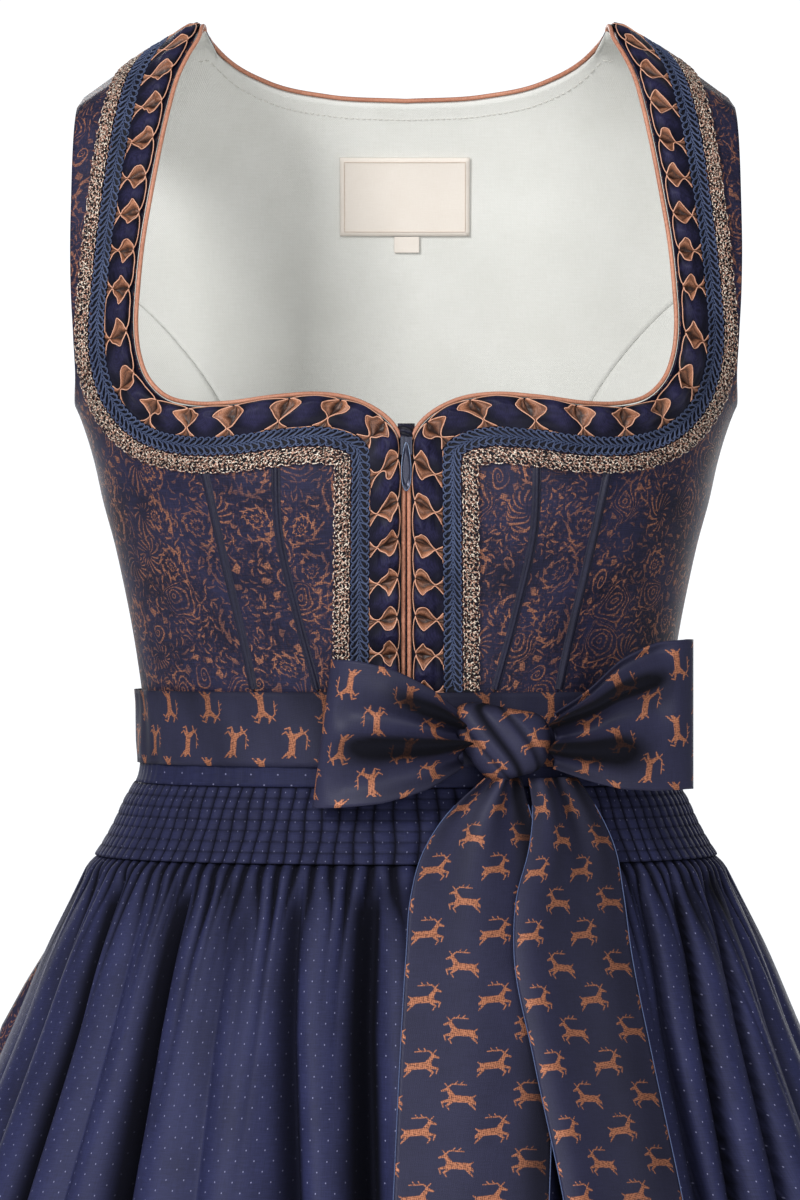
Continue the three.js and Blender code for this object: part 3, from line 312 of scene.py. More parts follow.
def body_point(x, z, side, out):
    """The body's place at (x, z), moved straight out, kept on its own side of the shoulder.
    Near the shoulder line pieces lie flatter, and the cloth sags towards the arm."""
    x, z, out = np.broadcast_arrays(*(np.asarray(value, float) for value in (x, z, out)))
    y = body_y(x, z, side)
    near = np.exp(-np.clip(shoulder_z(x) - z, 0, None) / SHOULDER_NEAR) * smooth_step(np.abs(x), 92, 106)
    out = out - np.clip(out - FLAT_ABOVE, 0, None) * FLAT_SHARE * near
    move = body_normal(x, y, z, side) * out[..., None]
    move[..., 0] *= 1 - near**3 * smooth_step(np.abs(x), 140, 158)
    point = np.stack([x, y, z], axis=-1) + move
    point[..., 2] -= SHOULDER_SAG * near * smooth_step(np.abs(x), 98, 150)
    point[..., 1] = side * np.maximum(side * point[..., 1], SEAM_GAP / 2)
    return point


def ring_point(degrees, z, out):
    """A place round the body, 0 degrees in front and 90 on the viewer's right, moved level out."""
    degrees, z, out = np.broadcast_arrays(degrees, np.asarray(z, float), out)
    angle = np.radians(degrees)
    power = 2 / section_power(z)
    x = half_width(z) * np.sign(np.sin(angle)) * np.abs(np.sin(angle)) ** power
    points = []
    for side in (FRONT, BACK):
        y = side * depth_at(z, side) * np.abs(np.cos(angle)) ** power
        y = y - bust(x, z) if side == FRONT else y
        points.append(np.stack([x, y, z], axis=-1) + level_normal(x, y, z, side) * out[..., None])
    return np.where((np.cos(angle) >= 0)[..., None], points[0], points[1])


# The neckline's bands

def neck_samples():
    """The neckline's free edge with the direction out over the cloth, which turns level near
    the shoulder so that bands end along the shoulder line."""
    edge = through_points(NECK_EDGE, 1601)
    along = unit(np.gradient(edge, axis=0))
    level = np.exp(edge[:, 1:] / 20)
    out = mix(np.stack([-along[:, 1], along[:, 0]], axis=1), np.array([1.0, 0.0]), level)
    return edge, unit(out), level[:, 0]


NECK, NECK_OUT, NECK_LEVEL = neck_samples()


def neck_line(distance):
    """The line beside the neckline, without the samples that the mitre at the zip cuts off:
    those nearer to another part of the neckline than their own distance."""
    place = NECK + distance * NECK_OUT
    place[:, 1] += (shoulder_z(place[:, 0]) - shoulder_z(NECK[:, 0])) * NECK_LEVEL
    gap = np.linalg.norm(place[:, None] - NECK[None], axis=2)
    number = np.arange(len(NECK))
    near = (np.abs(number[:, None] - number) < 20) | (NECK[:, 1] > -150)
    kept = np.all(near | (gap > distance - 0.1), axis=1)
    return number[kept], place[kept]


def band_grid(distances, counts, end_z=TRIM_END_Z):
    """Places beside the neckline: a row for each distance, with columns evenly spaced in each
    stretch: the strap, the rounded corner, the bottom and the centre front."""
    rows = []
    for distance in distances:
        number, place = neck_line(distance)
        low = place[:, 1] > end_z
        number, place = number[low], place[low]
        edge = NECK[number]
        mitre = np.where((edge[:, 0] < 40) & (place[:, 1] > -250), place[:, 0] - place[:, 1], 1e6)
        strap_end = np.argmax(edge[:, 1] < -133)
        corner_end = np.argmax((edge[:, 1] < -180) & (edge[:, 0] < 101))
        first = np.argmax(edge[:, 0] < 40)
        stops = [0, strap_end, corner_end, max(np.argmin(mitre), first), len(place) - 1]
        points = []
        for part, count in enumerate(counts):
            stretch = place[stops[part] : stops[part + 1] + 1]
            along = lengths(body_point(stretch[:, 0], stretch[:, 1], FRONT, 0))
            want = np.linspace(0, along[-1], count + 1)[(part > 0) :]
            points.append(np.stack([np.interp(want, along, stretch[:, k]) for k in (0, 1)], axis=1))
        rows.append(np.concatenate(points))
    return np.stack(rows)


TRIM_GRID = band_grid(np.arange(TRIM_REACH + 1), [n * STRETCH_STEPS for n in FROG_REPEATS])
TRIM_COLUMNS = TRIM_GRID.shape[1]


def on_trim(sign, column, distance, lift):
    """A place on the bands: column along the grid, distance from the neck edge, and lift. The
    bands draw together a little low on the strap, by a bell along the columns."""
    column, distance, lift = np.broadcast_arrays(column, distance, lift)
    bell = np.exp(-(((column - SQUEEZE_COLUMN) / SQUEEZE_REACH) ** 2))
    distance = distance * (1 - SQUEEZE - STRAP_SQUEEZE * bell)
    c = np.clip(column, 0, TRIM_COLUMNS - 1.0001)
    d = np.clip(distance, 0, TRIM_REACH - 0.0001)
    i, j = c.astype(int), d.astype(int)
    s, t = (c - i)[..., None], (d - j)[..., None]
    upper = mix(TRIM_GRID[j, i], TRIM_GRID[j, i + 1], s)
    place = mix(upper, mix(TRIM_GRID[j + 1, i], TRIM_GRID[j + 1, i + 1], s), t)
    return body_point(sign * place[..., 0], place[..., 1], FRONT, lift)


def trim_length(distance):
    """Distance along the band at each grid column."""
    return lengths(on_trim(1, np.arange(TRIM_COLUMNS), distance, TRIM_BASE))


# Meshes

def grid_faces(rows, columns, ring=False):
    """Quads of a grid of points numbered row by row."""
    r, c = np.meshgrid(np.arange(rows - 1), np.arange(columns - (not ring)), indexing="ij")
    here, beside = r * columns + c, r * columns + (c + 1) % columns
    return np.stack([here, here + columns, beside + columns, beside], axis=-1).reshape(-1, 4)


def sheet_part(grid, material=0, ring=False, flip=False, uv=None):
    """A grid of points as points, quads, material numbers and uv places."""
    faces = grid_faces(*grid.shape[:2], ring)
    if flip:
        faces = faces[:, ::-1]
    flat = np.zeros((grid.shape[0] * grid.shape[1], 2)) if uv is None else uv.reshape(-1, 2)
    return grid.reshape(-1, 3), faces, np.full(len(faces), material), flat


def cord_part(paths, normals, radius, sides=6, material=0, closed=False):
    """Cords along many paths at once, (path, point, 3): at each point a ring of corners is laid
    in the plane across the path, one axis along the cloth and one out of it."""
    paths = paths if paths.ndim == 3 else paths[None]
    normals = np.broadcast_to(normals, paths.shape)
    if closed:
        ahead, behind = np.roll(paths, -1, axis=1), np.roll(paths, 1, axis=1)
        along = ahead - behind
    else:
        along = np.gradient(paths, axis=1)
    along = unit(along, 1e-9)
    across = unit(np.cross(along, normals), 1e-9)
    out = np.cross(across, along)
    turn = np.arange(sides) * FULL_TURN / sides + np.pi / sides
    radius = np.broadcast_to(radius, paths.shape[:2])[..., None, None]
    ring = np.cos(turn)[:, None] * across[:, :, None] + np.sin(turn)[:, None] * out[:, :, None]
    points = paths[:, :, None] + radius * ring
    count, steps = paths.shape[:2]
    tube = grid_faces(steps, sides, ring=True)
    if closed:
        seam = grid_faces(2, sides, ring=True) + (steps - 1) * sides
        tube = np.concatenate([tube, np.where(seam >= steps * sides, seam - steps * sides, seam)])
    else:
        k = np.arange(1, sides - 2, 2)
        cap = np.stack([0 * k, k, k + 1, k + 2], axis=1)
        tube = np.concatenate([tube, cap, cap[:, ::-1] + (steps - 1) * sides])
    faces = (tube[None] + (np.arange(count) * steps * sides)[:, None, None]).reshape(-1, 4)
    points = points.reshape(-1, 3)
    return points, faces[:, ::-1], np.full(len(faces), material), np.zeros((len(points), 2))


def make_piece(name, parts, materials, nodes=(), body="garment", depth=None):
    """One object from mesh parts; it rides on a body and stands for the frame's nodes. Depth is
    the painted shade at each point, from 0 to 1, kept in the fold attribute that darkens the cloth's
    colour."""
    starts = np.cumsum([0] + [len(points) for points, *_ in parts])
    points = np.concatenate([part[0] for part in parts])
    faces = np.concatenate([part[1] + start for part, start in zip(parts, starts)])
    flat = np.concatenate([part[3] for part in parts])
    numbers = np.concatenate([part[2] for part in parts])
    mesh = bpy.data.meshes.new(name)
    mesh.vertices.add(len(points))
    mesh.vertices.foreach_set("co", (points * MM).astype(np.float32).ravel())
    mesh.loops.add(faces.size)
    mesh.loops.foreach_set("vertex_index", faces.astype(np.int32).ravel())
    mesh.polygons.add(len(faces))
    mesh.polygons.foreach_set("loop_start", np.arange(0, faces.size, 4, dtype=np.int32))
    mesh.polygons.foreach_set("material_index", numbers.astype(np.int32))
    mesh.polygons.foreach_set("use_smooth", np.ones(len(faces), bool))
    places = mesh.uv_layers.new(name="cloth").data
    places.foreach_set("uv", flat[faces.ravel()].astype(np.float32).ravel())
    if depth is not None:
        fold = mesh.attributes.new("fold", "FLOAT", "POINT").data
        fold.foreach_set("value", depth.astype(np.float32).ravel())
    mesh.update(calc_edges=True)
    for material in materials:
        mesh.materials.append(material)
    piece = bpy.data.objects.new(name, mesh)
    bpy.context.collection.objects.link(piece)
    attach(piece, body)
    if nodes:
        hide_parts(*nodes)
    return piece


def thicken(piece, thickness, inside=0):
    """Gives a sheet its wall, inwards from its outer face."""
    wall = piece.modifiers.new("wall", "SOLIDIFY")
    wall.thickness = thickness * MM
    wall.offset = -1
    wall.material_offset = inside
    wall.material_offset_rim = 0


def flat_places(grid, across=None, down=None):
    """Cloth coordinates in mm: the mean distance along the rows and down the columns."""
    rows = lengths(grid)
    rows = rows - rows[:, rows.shape[1] // 2, None]
    columns = lengths(np.swapaxes(grid, 0, 1)).mean(axis=0)
    u = rows if across is None else np.broadcast_to(across, rows.shape)
    v = np.broadcast_to(-columns[:, None] if down is None else down, rows.shape)
    return np.stack([u, v], axis=-1)


def surface_area(grid):
    """Area of a grid of quads, half the cross product of each quad's diagonals."""
    a, b = grid[1:, 1:] - grid[:-1, :-1], grid[1:, :-1] - grid[:-1, 1:]
    return 0.5 * np.linalg.norm(np.cross(a, b), axis=-1).sum()


def cut_from(grid, spare=(1, 1)):
    """Works out a piece's size as cloth cut flat: its longest row by its longest column, with the
    gathers' spare width and length, and the area that the same spare gives; it keeps none of them."""
    width = lengths(grid).max() * spare[0] * MM
    length = lengths(np.swapaxes(grid, 0, 1)).max() * spare[1] * MM
    area = min(surface_area(grid) * spare[0] * spare[1] * MM * MM, width * length)


def cloth_piece(name, grid, looks, wall, held=None, spare=(1, 1), uv=None, depth=None,
                ring=False, flip=False):
    """A sheet of cloth that stands for the node of its name, with its wall; its inside has the
    last of its looks. When held is given, cut_from works out its flat size with the spare."""
    part = sheet_part(grid, uv=uv, ring=ring, flip=flip)
    piece = make_piece(f"{name}_cloth", [part], looks, [name], depth=depth)
    thicken(piece, wall, inside=len(looks) - 1)
    if held:
        cut_from(grid, spare)


# Node trees: signals with arithmetic, groups and materials

def srgb(red, green, blue):
    """A colour of 0 to 255 as linear light."""
    c = np.array([red, green, blue]) / 255
    return tuple(np.where(c <= 0.04045, c / 12.92, ((c + 0.055) / 1.055) ** 2.4).tolist()) + (1.0,)


def feed(tree, socket, value):
    """Links a signal to a socket, or sets the socket's own value."""
    if isinstance(value, Signal):
        tree.links.new(value.socket, socket)
    elif value is not None:
        socket.default_value = value


class Signal:
    """A socket of a node tree. Arithmetic on it adds Math nodes."""

    def __init__(self, tree, socket):
        self.tree, self.socket = tree, socket

    def math(self, operation, *others, clamp=False):
        node = self.tree.nodes.new("ShaderNodeMath")
        node.operation, node.use_clamp = operation, clamp
        for socket, value in zip(node.inputs, (self, *others)):
            feed(self.tree, socket, value)
        return Signal(self.tree, node.outputs[0])

    def vector(self, operation, *others, scale=None):
        node = self.tree.nodes.new("ShaderNodeVectorMath")
        node.operation = operation
        for socket, value in zip(node.inputs, (self, *others)):
            feed(self.tree, socket, value)
        if scale is not None:
            feed(self.tree, node.inputs["Scale"], scale)
        output = "Value" if operation in ("LENGTH", "DOT_PRODUCT", "DISTANCE") else "Vector"
        return Signal(self.tree, node.outputs[output])

    def __add__(self, other):
        return self.math("ADD", other)

    def __sub__(self, other):
        return self.math("SUBTRACT", other)

    def __mul__(self, other):
        return self.math("MULTIPLY", other)

    def __truediv__(self, other):
        return self.math("DIVIDE", other)

    def step(self, low, high):
        """Smooth step from 0 at low to 1 at high."""
        node = self.tree.nodes.new("ShaderNodeMapRange")
        node.interpolation_type = "SMOOTHSTEP"
        for label, value in (("Value", self), ("From Min", low), ("From Max", high)):
            feed(self.tree, node.inputs[label], value)
        return Signal(self.tree, node.outputs["Result"])

    def split(self):
        node = self.tree.nodes.new("ShaderNodeSeparateXYZ")
        feed(self.tree, node.inputs[0], self)
        return [Signal(self.tree, socket) for socket in node.outputs]


def add_node(tree, kind, output, settings=(), **inputs):
    """A node with its settings and inputs; returns one of its outputs, or several."""
    node = tree.nodes.new(kind)
    for label, value in dict(settings).items():
        setattr(node, label, value)
    for label, value in inputs.items():
        feed(tree, node.inputs[label.replace("_", " ")], value)
    if isinstance(output, str):
        return Signal(tree, node.outputs[output])
    return [Signal(tree, node.outputs[label]) for label in output]


def blend(tree, share, first, second):
    """Mix of two colours."""
    node = tree.nodes.new("ShaderNodeMix")
    node.data_type = "RGBA"
    feed(tree, node.inputs["Factor"], share)
    feed(tree, node.inputs[6], first)
    feed(tree, node.inputs[7], second)
    return Signal(tree, node.outputs[2])


def noise(tree, place, scale, detail=2.0, output="Fac"):
    return add_node(tree, "ShaderNodeTexNoise", output, Vector=place, Scale=scale, Detail=detail)


def join_xy(tree, x, y):
    return add_node(tree, "ShaderNodeCombineXYZ", "Vector", X=x, Y=y)


def effect(name, inputs, outputs, build):
    """A shader node group with named inputs and outputs, filled by build from its signals."""
    tree = bpy.data.node_groups.new(name, "ShaderNodeTree")
    for label, value in inputs.items():
        kind = "NodeSocketVector" if value is None else "NodeSocketFloat"
        socket = tree.interface.new_socket(label, in_out="INPUT", socket_type=kind)
        if value is not None:
            socket.default_value = value
    for label in outputs:
        tree.interface.new_socket(label, in_out="OUTPUT", socket_type="NodeSocketFloat")
    source, sink = tree.nodes.new("NodeGroupInput"), tree.nodes.new("NodeGroupOutput")
    results = build(tree, *[Signal(tree, source.outputs[label]) for label in inputs])
    for label, result in zip(outputs, results):
        feed(tree, sink.inputs[label], result)
    return tree


def use(tree, group, **inputs):
    """Places a node group with its own values; returns its outputs."""
    node = tree.nodes.new("ShaderNodeGroup")
    node.node_tree = group
    for label, value in inputs.items():
        feed(tree, node.inputs[label], value)
    return [Signal(tree, socket) for socket in node.outputs]


def cloth_place(tree):
    """The piece's own cloth coordinates, in mm."""
    return add_node(tree, "ShaderNodeUVMap", "UV", {"uv_map": "cloth"})


def object_place(tree):
    """Object coordinates in mm."""
    place = add_node(tree, "ShaderNodeTexCoord", "Object")
    return place.vector("SCALE", scale=1000.0)


def painted_shade_of(tree):
    """How much painted shade the cloth has: the piece's fold attribute."""
    return add_node(tree, "ShaderNodeAttribute", "Fac", {"attribute_name": "fold"})


def with_painted_shade(tree, colour):
    """The colour with painted shade: blended towards near-black as the piece's fold attribute rises."""
    return blend(tree, painted_shade_of(tree) * 0.94, colour, srgb(6, 6, 13))


def weave_build(tree, place, pitch):
    """Plain weave: threads rise where two waves across each other agree."""
    x, y, _ = place.split()
    wave_x = (x * np.pi / pitch).math("SINE")
    wave_y = (y * np.pi / pitch).math("SINE")
    return [wave_x * wave_y * 0.5 + 0.5]


def yarn_build(tree, place, size):
    """Uneven yarn: streaks along both threads and soft patches."""
    scaled = place.vector("SCALE", scale=size)
    level = noise(tree, scaled.vector("MULTIPLY", (0.12, 2.0, 1.0)), 1.0)
    upright = noise(tree, scaled.vector("MULTIPLY", (2.0, 0.12, 1.0)), 1.0)
    patches = noise(tree, scaled, 0.035, 1.0)
    return [level * 0.35 + upright * 0.3 + patches * 0.35]


def turned(tree, vector, angle):
    """A vector turned about Z."""
    return add_node(tree, "ShaderNodeVectorRotate", "Vector", {"rotation_type": "Z_AXIS"},
                    Vector=vector, Angle=angle)


def cells(tree, place, size, randomness):
    """Scattered figure centres: the place seen from the nearest centre, in mm and turned at
    random, with one more random number."""
    scaled = place.vector("SCALE", scale=1 / size)
    colour, centre = add_node(tree, "ShaderNodeTexVoronoi", ("Color", "Position"),
                              {"voronoi_dimensions": "2D"}, Vector=scaled, Scale=1.0,
                              Randomness=randomness)
    chance, kind, _ = colour.split()
    local = scaled.vector("SUBTRACT", centre).vector("SCALE", scale=size)
    return turned(tree, local, chance * FULL_TURN), kind


def polar(local):
    """Distance from the middle and angle round it."""
    x, y, _ = local.split()
    return local.vector("LENGTH"), y.math("ARCTAN2", x)


def brocade_build(tree, place):
    """Brocade figures: in scattered cells a ring of small petals round a scroll, a leafy spiral,
    a palm of curved strokes or a drop with contour lines, and leaf strokes between them."""
    bend = noise(tree, place, 0.06, 1.0, "Color").vector("SUBTRACT", (0.5, 0.5, 0.5))
    warped = place.vector("ADD", bend.vector("SCALE", scale=10.0))
    local, kind = cells(tree, warped, 23.0, 0.85)
    radius, angle = polar(local)

    turns = (radius + 0.6).math("LOGARITHM", 2.718) * 1.25 - angle / FULL_TURN
    coil = (turns.math("FRACT") - 0.5).math("ABSOLUTE")
    beads = (angle * 3.5).math("SINE").math("ABSOLUTE")
    petal = (radius.step(6.8, 9.6) * 0.62 - beads).step(-0.12, 0.06)
    ring = petal * radius.step(6.9, 7.4) * (beads * -1.6 + 11.2 - radius).step(-0.3, 0.3)
    inner = (coil * -1.0 + 0.13).step(-0.03, 0.03) * (radius * -1.0).step(-5.6, -5.0)
    rosette = (ring + inner).math("MINIMUM", 1.0)

    teeth = (angle * 9.0 + radius * 1.4).math("SINE").math("MAXIMUM", 0.0) * 0.26 + 0.05
    scroll = (teeth - coil).step(-0.03, 0.03) * (radius * -1.0).step(-11.4, -10.6)

    fan = (angle * 2.2 + radius * 0.16).math("FRACT").math("SUBTRACT", 0.5).math("ABSOLUTE")
    strokes = (fan * -1.0 + 0.15).step(-0.05, 0.05) * radius.step(2.8, 4.0)
    palm = strokes * (angle.math("COSINE") * 3.0 + 9.2 - radius).step(-0.4, 0.4)

    swirl = turned(tree, local, radius * 0.16)
    drop_x, drop_y, _ = swirl.split()
    narrowed = drop_x / (drop_y * -0.06 + 1.0).math("MAXIMUM", 0.3)
    drop = join_xy(tree, narrowed, drop_y * 0.8).vector("LENGTH")
    contour = (drop / 2.3).math("FRACT").math("SUBTRACT", 0.5).math("ABSOLUTE")
    hatch = (angle * 15.0 + radius).math("SINE").step(-0.5, 0.1)
    drops = (contour * -1.0).step(-0.2, -0.1) * (hatch * 0.6 + 0.4) * (drop * -1.0).step(-10.6, -10.0)

    pick = kind * 4.0
    figure = mix_value(pick.math("GREATER_THAN", 1.0), rosette, scroll)
    figure = mix_value(pick.math("GREATER_THAN", 2.1), figure, palm)
    figure = mix_value(pick.math("GREATER_THAN", 3.1), figure, drops)

    leaf, chance = cells(tree, warped, 4.3, 0.9)
    leaf_x, leaf_y, _ = leaf.split()
    curved = leaf_y + leaf_x * leaf_x * 0.16
    edge = leaf_x * leaf_x * -0.1 + 0.5
    leaves = (edge - curved.math("ABSOLUTE")).step(-0.15, 0.12)
    ground = leaves * radius.step(9.2, 10.4) * chance.step(0.1, 0.2) * 0.8
    return [(figure + ground).math("MINIMUM", 1.0)]


def mix_value(share, first, second):
    """Mix of two signals by a share."""
    node = first.tree.nodes.new("ShaderNodeMix")
    feed(first.tree, node.inputs[0], share)
    feed(first.tree, node.inputs[2], first)
    feed(first.tree, node.inputs[3], second)
    return Signal(first.tree, node.outputs[0])


# A leaping stag as tapered strokes: start and end in mm, and the half width at each
STAG_STROKES = (
    ((-5.2, -0.4), (2.4, 0.2), 1.55, 1.7), ((2.2, 0.9), (4.2, 4.4), 1.35, 0.75),
    ((4.3, 4.8), (7.0, 3.9), 0.85, 0.38), ((4.6, 5.4), (2.6, 7.2), 0.36, 0.3),
    ((2.6, 7.2), (-3.6, 6.7), 0.32, 0.22), ((1.3, 7.1), (0.4, 8.5), 0.28, 0.2),
    ((-0.9, 6.9), (-2.1, 8.3), 0.28, 0.2), ((4.4, 5.8), (5.8, 7.5), 0.3, 0.2),
    ((-5.4, -0.8), (-7.8, -2.4), 1.15, 0.55), ((-7.8, -2.4), (-9.8, -4.8), 0.5, 0.26),
    ((-4.8, -1.2), (-6.4, -3.6), 0.9, 0.45), ((-6.4, -3.6), (-8.2, -5.6), 0.42, 0.24),
    ((3.0, -0.6), (6.8, -1.4), 0.85, 0.42), ((6.8, -1.4), (6.2, -3.8), 0.36, 0.24),
    ((2.2, -1.0), (4.8, -3.2), 0.75, 0.4), ((4.8, -3.2), (3.6, -5.2), 0.34, 0.22),
    ((-6.4, 0.6), (-7.7, 1.5), 0.42, 0.24),
)


def stag_build(tree, place):
    """Rows of leaping stags: each second column is mirrored and half a repeat lower. The mask is
    the nearest of the strokes, each a distance to a segment less its tapering half width."""
    column, repeat = 16.0, 32.0
    x, y, _ = place.split()
    index = (x / column).math("FLOOR")
    odd = index.math("FLOORED_MODULO", 2.0)
    local_x = (x / column - index - 0.5) * column
    turned_y = (y / repeat + odd * 0.5).math("FRACT")
    local_y = (turned_y - 0.5) * repeat
    point = join_xy(tree, local_x * (odd * -2.0 + 1.0), local_y)
    nearest = None
    for start, end, wide, narrow in STAG_STROKES:
        length = (np.array(end) - np.array(start)).tolist()
        square = float(np.dot(length, length))
        away = point.vector("SUBTRACT", (*start, 0.0))
        share = away.vector("DOT_PRODUCT", (length[0] / square, length[1] / square, 0.0))
        share = share.math("ADD", 0.0, clamp=True)
        foot = add_node(tree, "ShaderNodeVectorMath", "Vector", {"operation": "SCALE"})
        feed(tree, foot.socket.node.inputs[0], (*length, 0.0))
        feed(tree, foot.socket.node.inputs["Scale"], share)
        gap = away.vector("DISTANCE", foot) - (share * (narrow - wide) + wide)
        nearest = gap if nearest is None else nearest.math("MINIMUM", gap)
    return [(nearest * -1.0).step(-0.25, 0.3)]


def dots_build(tree, place, across, down, size):
    """Pin dots, each second row moved half a step."""
    x, y, _ = place.split()
    row = (y / down).math("FLOOR")
    shift = row.math("FLOORED_MODULO", 2.0) * 0.5
    local_x = ((x / across + shift).math("FRACT") - 0.5) * across
    local_y = (y / down - row - 0.5) * down
    return [(join_xy(tree, local_x, local_y).vector("LENGTH") * -1.0 + size).step(-0.12, 0.12)]


WEAVE = effect("weave", {"Place": None, "Pitch": 0.5}, ["Height"], weave_build)
YARN = effect("yarn", {"Place": None, "Size": 1.0}, ["Shade"], yarn_build)
FIGURES = effect("brocade figures", {"Place": None}, ["Mask"], brocade_build)
STAGS = effect("leaping stags", {"Place": None}, ["Mask"], stag_build)
PIN_DOTS = effect("pin dots", {"Place": None, "Across": 14.0, "Down": 5.2, "Size": 0.42},
                  ["Mask"], dots_build)


def material(name, build, **constants):
    """A material whose build gives the inputs that change over the surface; a height in mm
    feeds a bump."""
    look = bpy.data.materials.new(name)
    look.use_nodes = True
    tree = look.node_tree
    shader = tree.nodes["Principled BSDF"]
    for label, value in constants.items():
        shader.inputs[label.replace("_", " ")].default_value = value
    for label, value in build(tree).items():
        if label == "Height":
            bump = tree.nodes.new("ShaderNodeBump")
            bump.inputs["Distance"].default_value = MM
            feed(tree, bump.inputs["Height"], value)
            tree.links.new(bump.outputs[0], shader.inputs["Normal"])
        else:
            feed(tree, shader.inputs[label], value)
    return look


def two_tone(first, second, place_of, size=1.0, weave=0.5, height=0.06):
    """A plain weave whose colour drifts between two shades with its yarn, darkened by painted shade where
    the piece's fold attribute has it.
    """

    def build(tree):
        place = place_of(tree)
        shade, = use(tree, YARN, Place=place, Size=size)
        threads, = use(tree, WEAVE, Place=place, Pitch=weave)
        colour = blend(tree, (shade * 0.8 + threads * 0.2).step(0.25, 0.75), first, second)
        return {
            "Base Color": with_painted_shade(tree, colour),
            "Height": threads * height + shade * height * 0.6,
        }

    return build


def figured(ground, dark_ground, figure, dark_figure, group, strength, fade=0.0, haze=0.0):
    """Satin with woven figures that stand a little proud of it, and a haze of stray yarn."""

    def build(tree):
        place = cloth_place(tree)
        mask, = use(tree, group, Place=place)
        shade, = use(tree, YARN, Place=place, Size=1.0)
        twill, = use(tree, WEAVE, Place=turned(tree, place, 0.6), Pitch=0.6)
        grain = noise(tree, place, 0.9, 2.0)
        patches = noise(tree, place, 0.05, 1.0).step(0.36, 0.62)
        shown = mask * (patches * fade + (1.0 - fade)) * (grain.step(0.3, 0.55) * 0.5 + 0.5) * strength
        shown = shown + noise(tree, place, 0.6, 2.0).step(0.5, 0.72) * patches * haze
        cloth = blend(tree, shade.step(0.3, 0.7), dark_ground, ground)
        thread = blend(tree, (twill * 0.35 + grain * 0.65).step(0.3, 0.62), dark_figure, figure)
        return {
            "Base Color": with_painted_shade(tree, blend(tree, shown.math("MINIMUM", 1.0), cloth, thread)),
            "Roughness": painted_shade_of(tree) * 0.5 + shade * 0.1 + 0.42,
            "Metallic": shown * 0.2,
            "Height": mask * 0.1 + twill * 0.035 + shade * 0.03,
        }

    return build


def apron_build(tree):
    """Navy satin with pin dots; in its folds painted shade darkens it, and it is duller there."""
    place = cloth_place(tree)
    dots, = use(tree, PIN_DOTS, Place=place)
    shade, = use(tree, YARN, Place=place, Size=0.8)
    threads, = use(tree, WEAVE, Place=place, Pitch=0.4)
    cloth = blend(tree, shade.step(0.3, 0.7), srgb(35, 37, 64), srgb(48, 51, 87))
    return {
        "Base Color": with_painted_shade(tree, blend(tree, dots * 0.6, cloth, srgb(160, 162, 200))),
        "Roughness": painted_shade_of(tree) * 0.45 + shade * 0.12 + 0.42,
        "Height": threads * 0.03 + dots * 0.05 + shade * 0.05,
    }


def lace_build(tree):
    """Metal thread with dark gaps and bright glints, by noise of two sizes."""
    place = object_place(tree)
    speck = noise(tree, place, 0.95, 1.0)
    glint = noise(tree, place.vector("ADD", (31.0, 7.0, 3.0)), 1.25, 0.0)
    thread = blend(tree, speck.step(0.5, 0.58), srgb(92, 62, 52), srgb(190, 146, 126))
    thread = blend(tree, glint.step(0.54, 0.6), thread, srgb(240, 228, 212))
    return {
        "Base Color": blend(tree, speck.step(0.45, 0.38), thread, srgb(26, 20, 22)),
        "Metallic": glint.step(0.5, 0.6) * 0.4,
        "Height": glint * 0.3,
    }


BROCADE = material("brocade", figured(
    srgb(46, 46, 72), srgb(24, 23, 36), srgb(160, 108, 86), srgb(76, 52, 48), FIGURES, 1.05, 0.6, 0.4),
    Specular_IOR_Level=0.1)
RIBBON = material("ribbon", figured(
    srgb(48, 48, 72), srgb(40, 40, 60), srgb(186, 122, 92), srgb(100, 60, 44), STAGS, 1.3),
    Specular_IOR_Level=0.16)
APRON = material("apron satin", apron_build, Specular_IOR_Level=0.12)


def plain(name, first, second, size, weave, height, place_of=object_place, **constants):
    """A plain cloth, cord or metal between two shades."""
    build = two_tone(srgb(*first), srgb(*second), place_of, size, weave, height)
    return material(name, build, **constants)


LINING = plain("lining", (216, 216, 210), (229, 229, 225), 0.9, 0.6, 0.08, cloth_place,
               Roughness=0.9, Specular_IOR_Level=0.2)
LABEL = plain("label", (226, 216, 205), (236, 228, 219), 1.5, 0.35, 0.04, cloth_place, Roughness=0.6)
LABEL_EDGE = plain("label edge", (200, 182, 168), (216, 200, 186), 1.5, 0.35, 0.04, Roughness=0.6)
COPPER = plain("copper satin", (156, 98, 76), (214, 152, 124), 0.9, 0.35, 0.04,
               Roughness=0.42, Specular_IOR_Level=0.35)
# A darker copy of the copper satin for the mouths' leaves: painted shade inside the pleats.
SHADED_MOUTH = plain("pleat inside", (104, 58, 42), (206, 142, 106), 1.6, 0.35, 0.04,
              Roughness=0.42, Specular_IOR_Level=0.35)
# A lighter copy of the copper satin for the mouths' and puffs' edges: a painted highlight.
LIT_COPPER_RIM = plain("copper edge", (196, 134, 106), (236, 184, 156), 2.0, 0.35, 0.03,
                   Roughness=0.4, Specular_IOR_Level=0.35)
PUFF = plain("ruffle satin", (20, 19, 36), (46, 44, 76), 0.6, 0.35, 0.03,
             Roughness=0.5, Specular_IOR_Level=0.12)
GIMP = plain("gimp cord", (36, 45, 72), (92, 104, 136), 1.6, 0.3, 0.1,
             Roughness=0.5, Specular_IOR_Level=0.2)
DARK_BASE = plain("trim base", (10, 10, 18), (20, 20, 32), 1.0, 0.35, 0.04,
                  Roughness=0.6, Specular_IOR_Level=0.2)
LACE = material("metal lace", lace_build, Roughness=0.5, Specular_IOR_Level=0.3)
NAVY = plain("navy satin", (22, 22, 36), (38, 38, 60), 1.0, 0.35, 0.04,
             Roughness=0.45, Specular_IOR_Level=0.25)
METAL = plain("lacquered metal", (26, 28, 44), (40, 44, 66), 0.5, 0.9, 0.01,
              Roughness=0.25, Metallic=0.4)
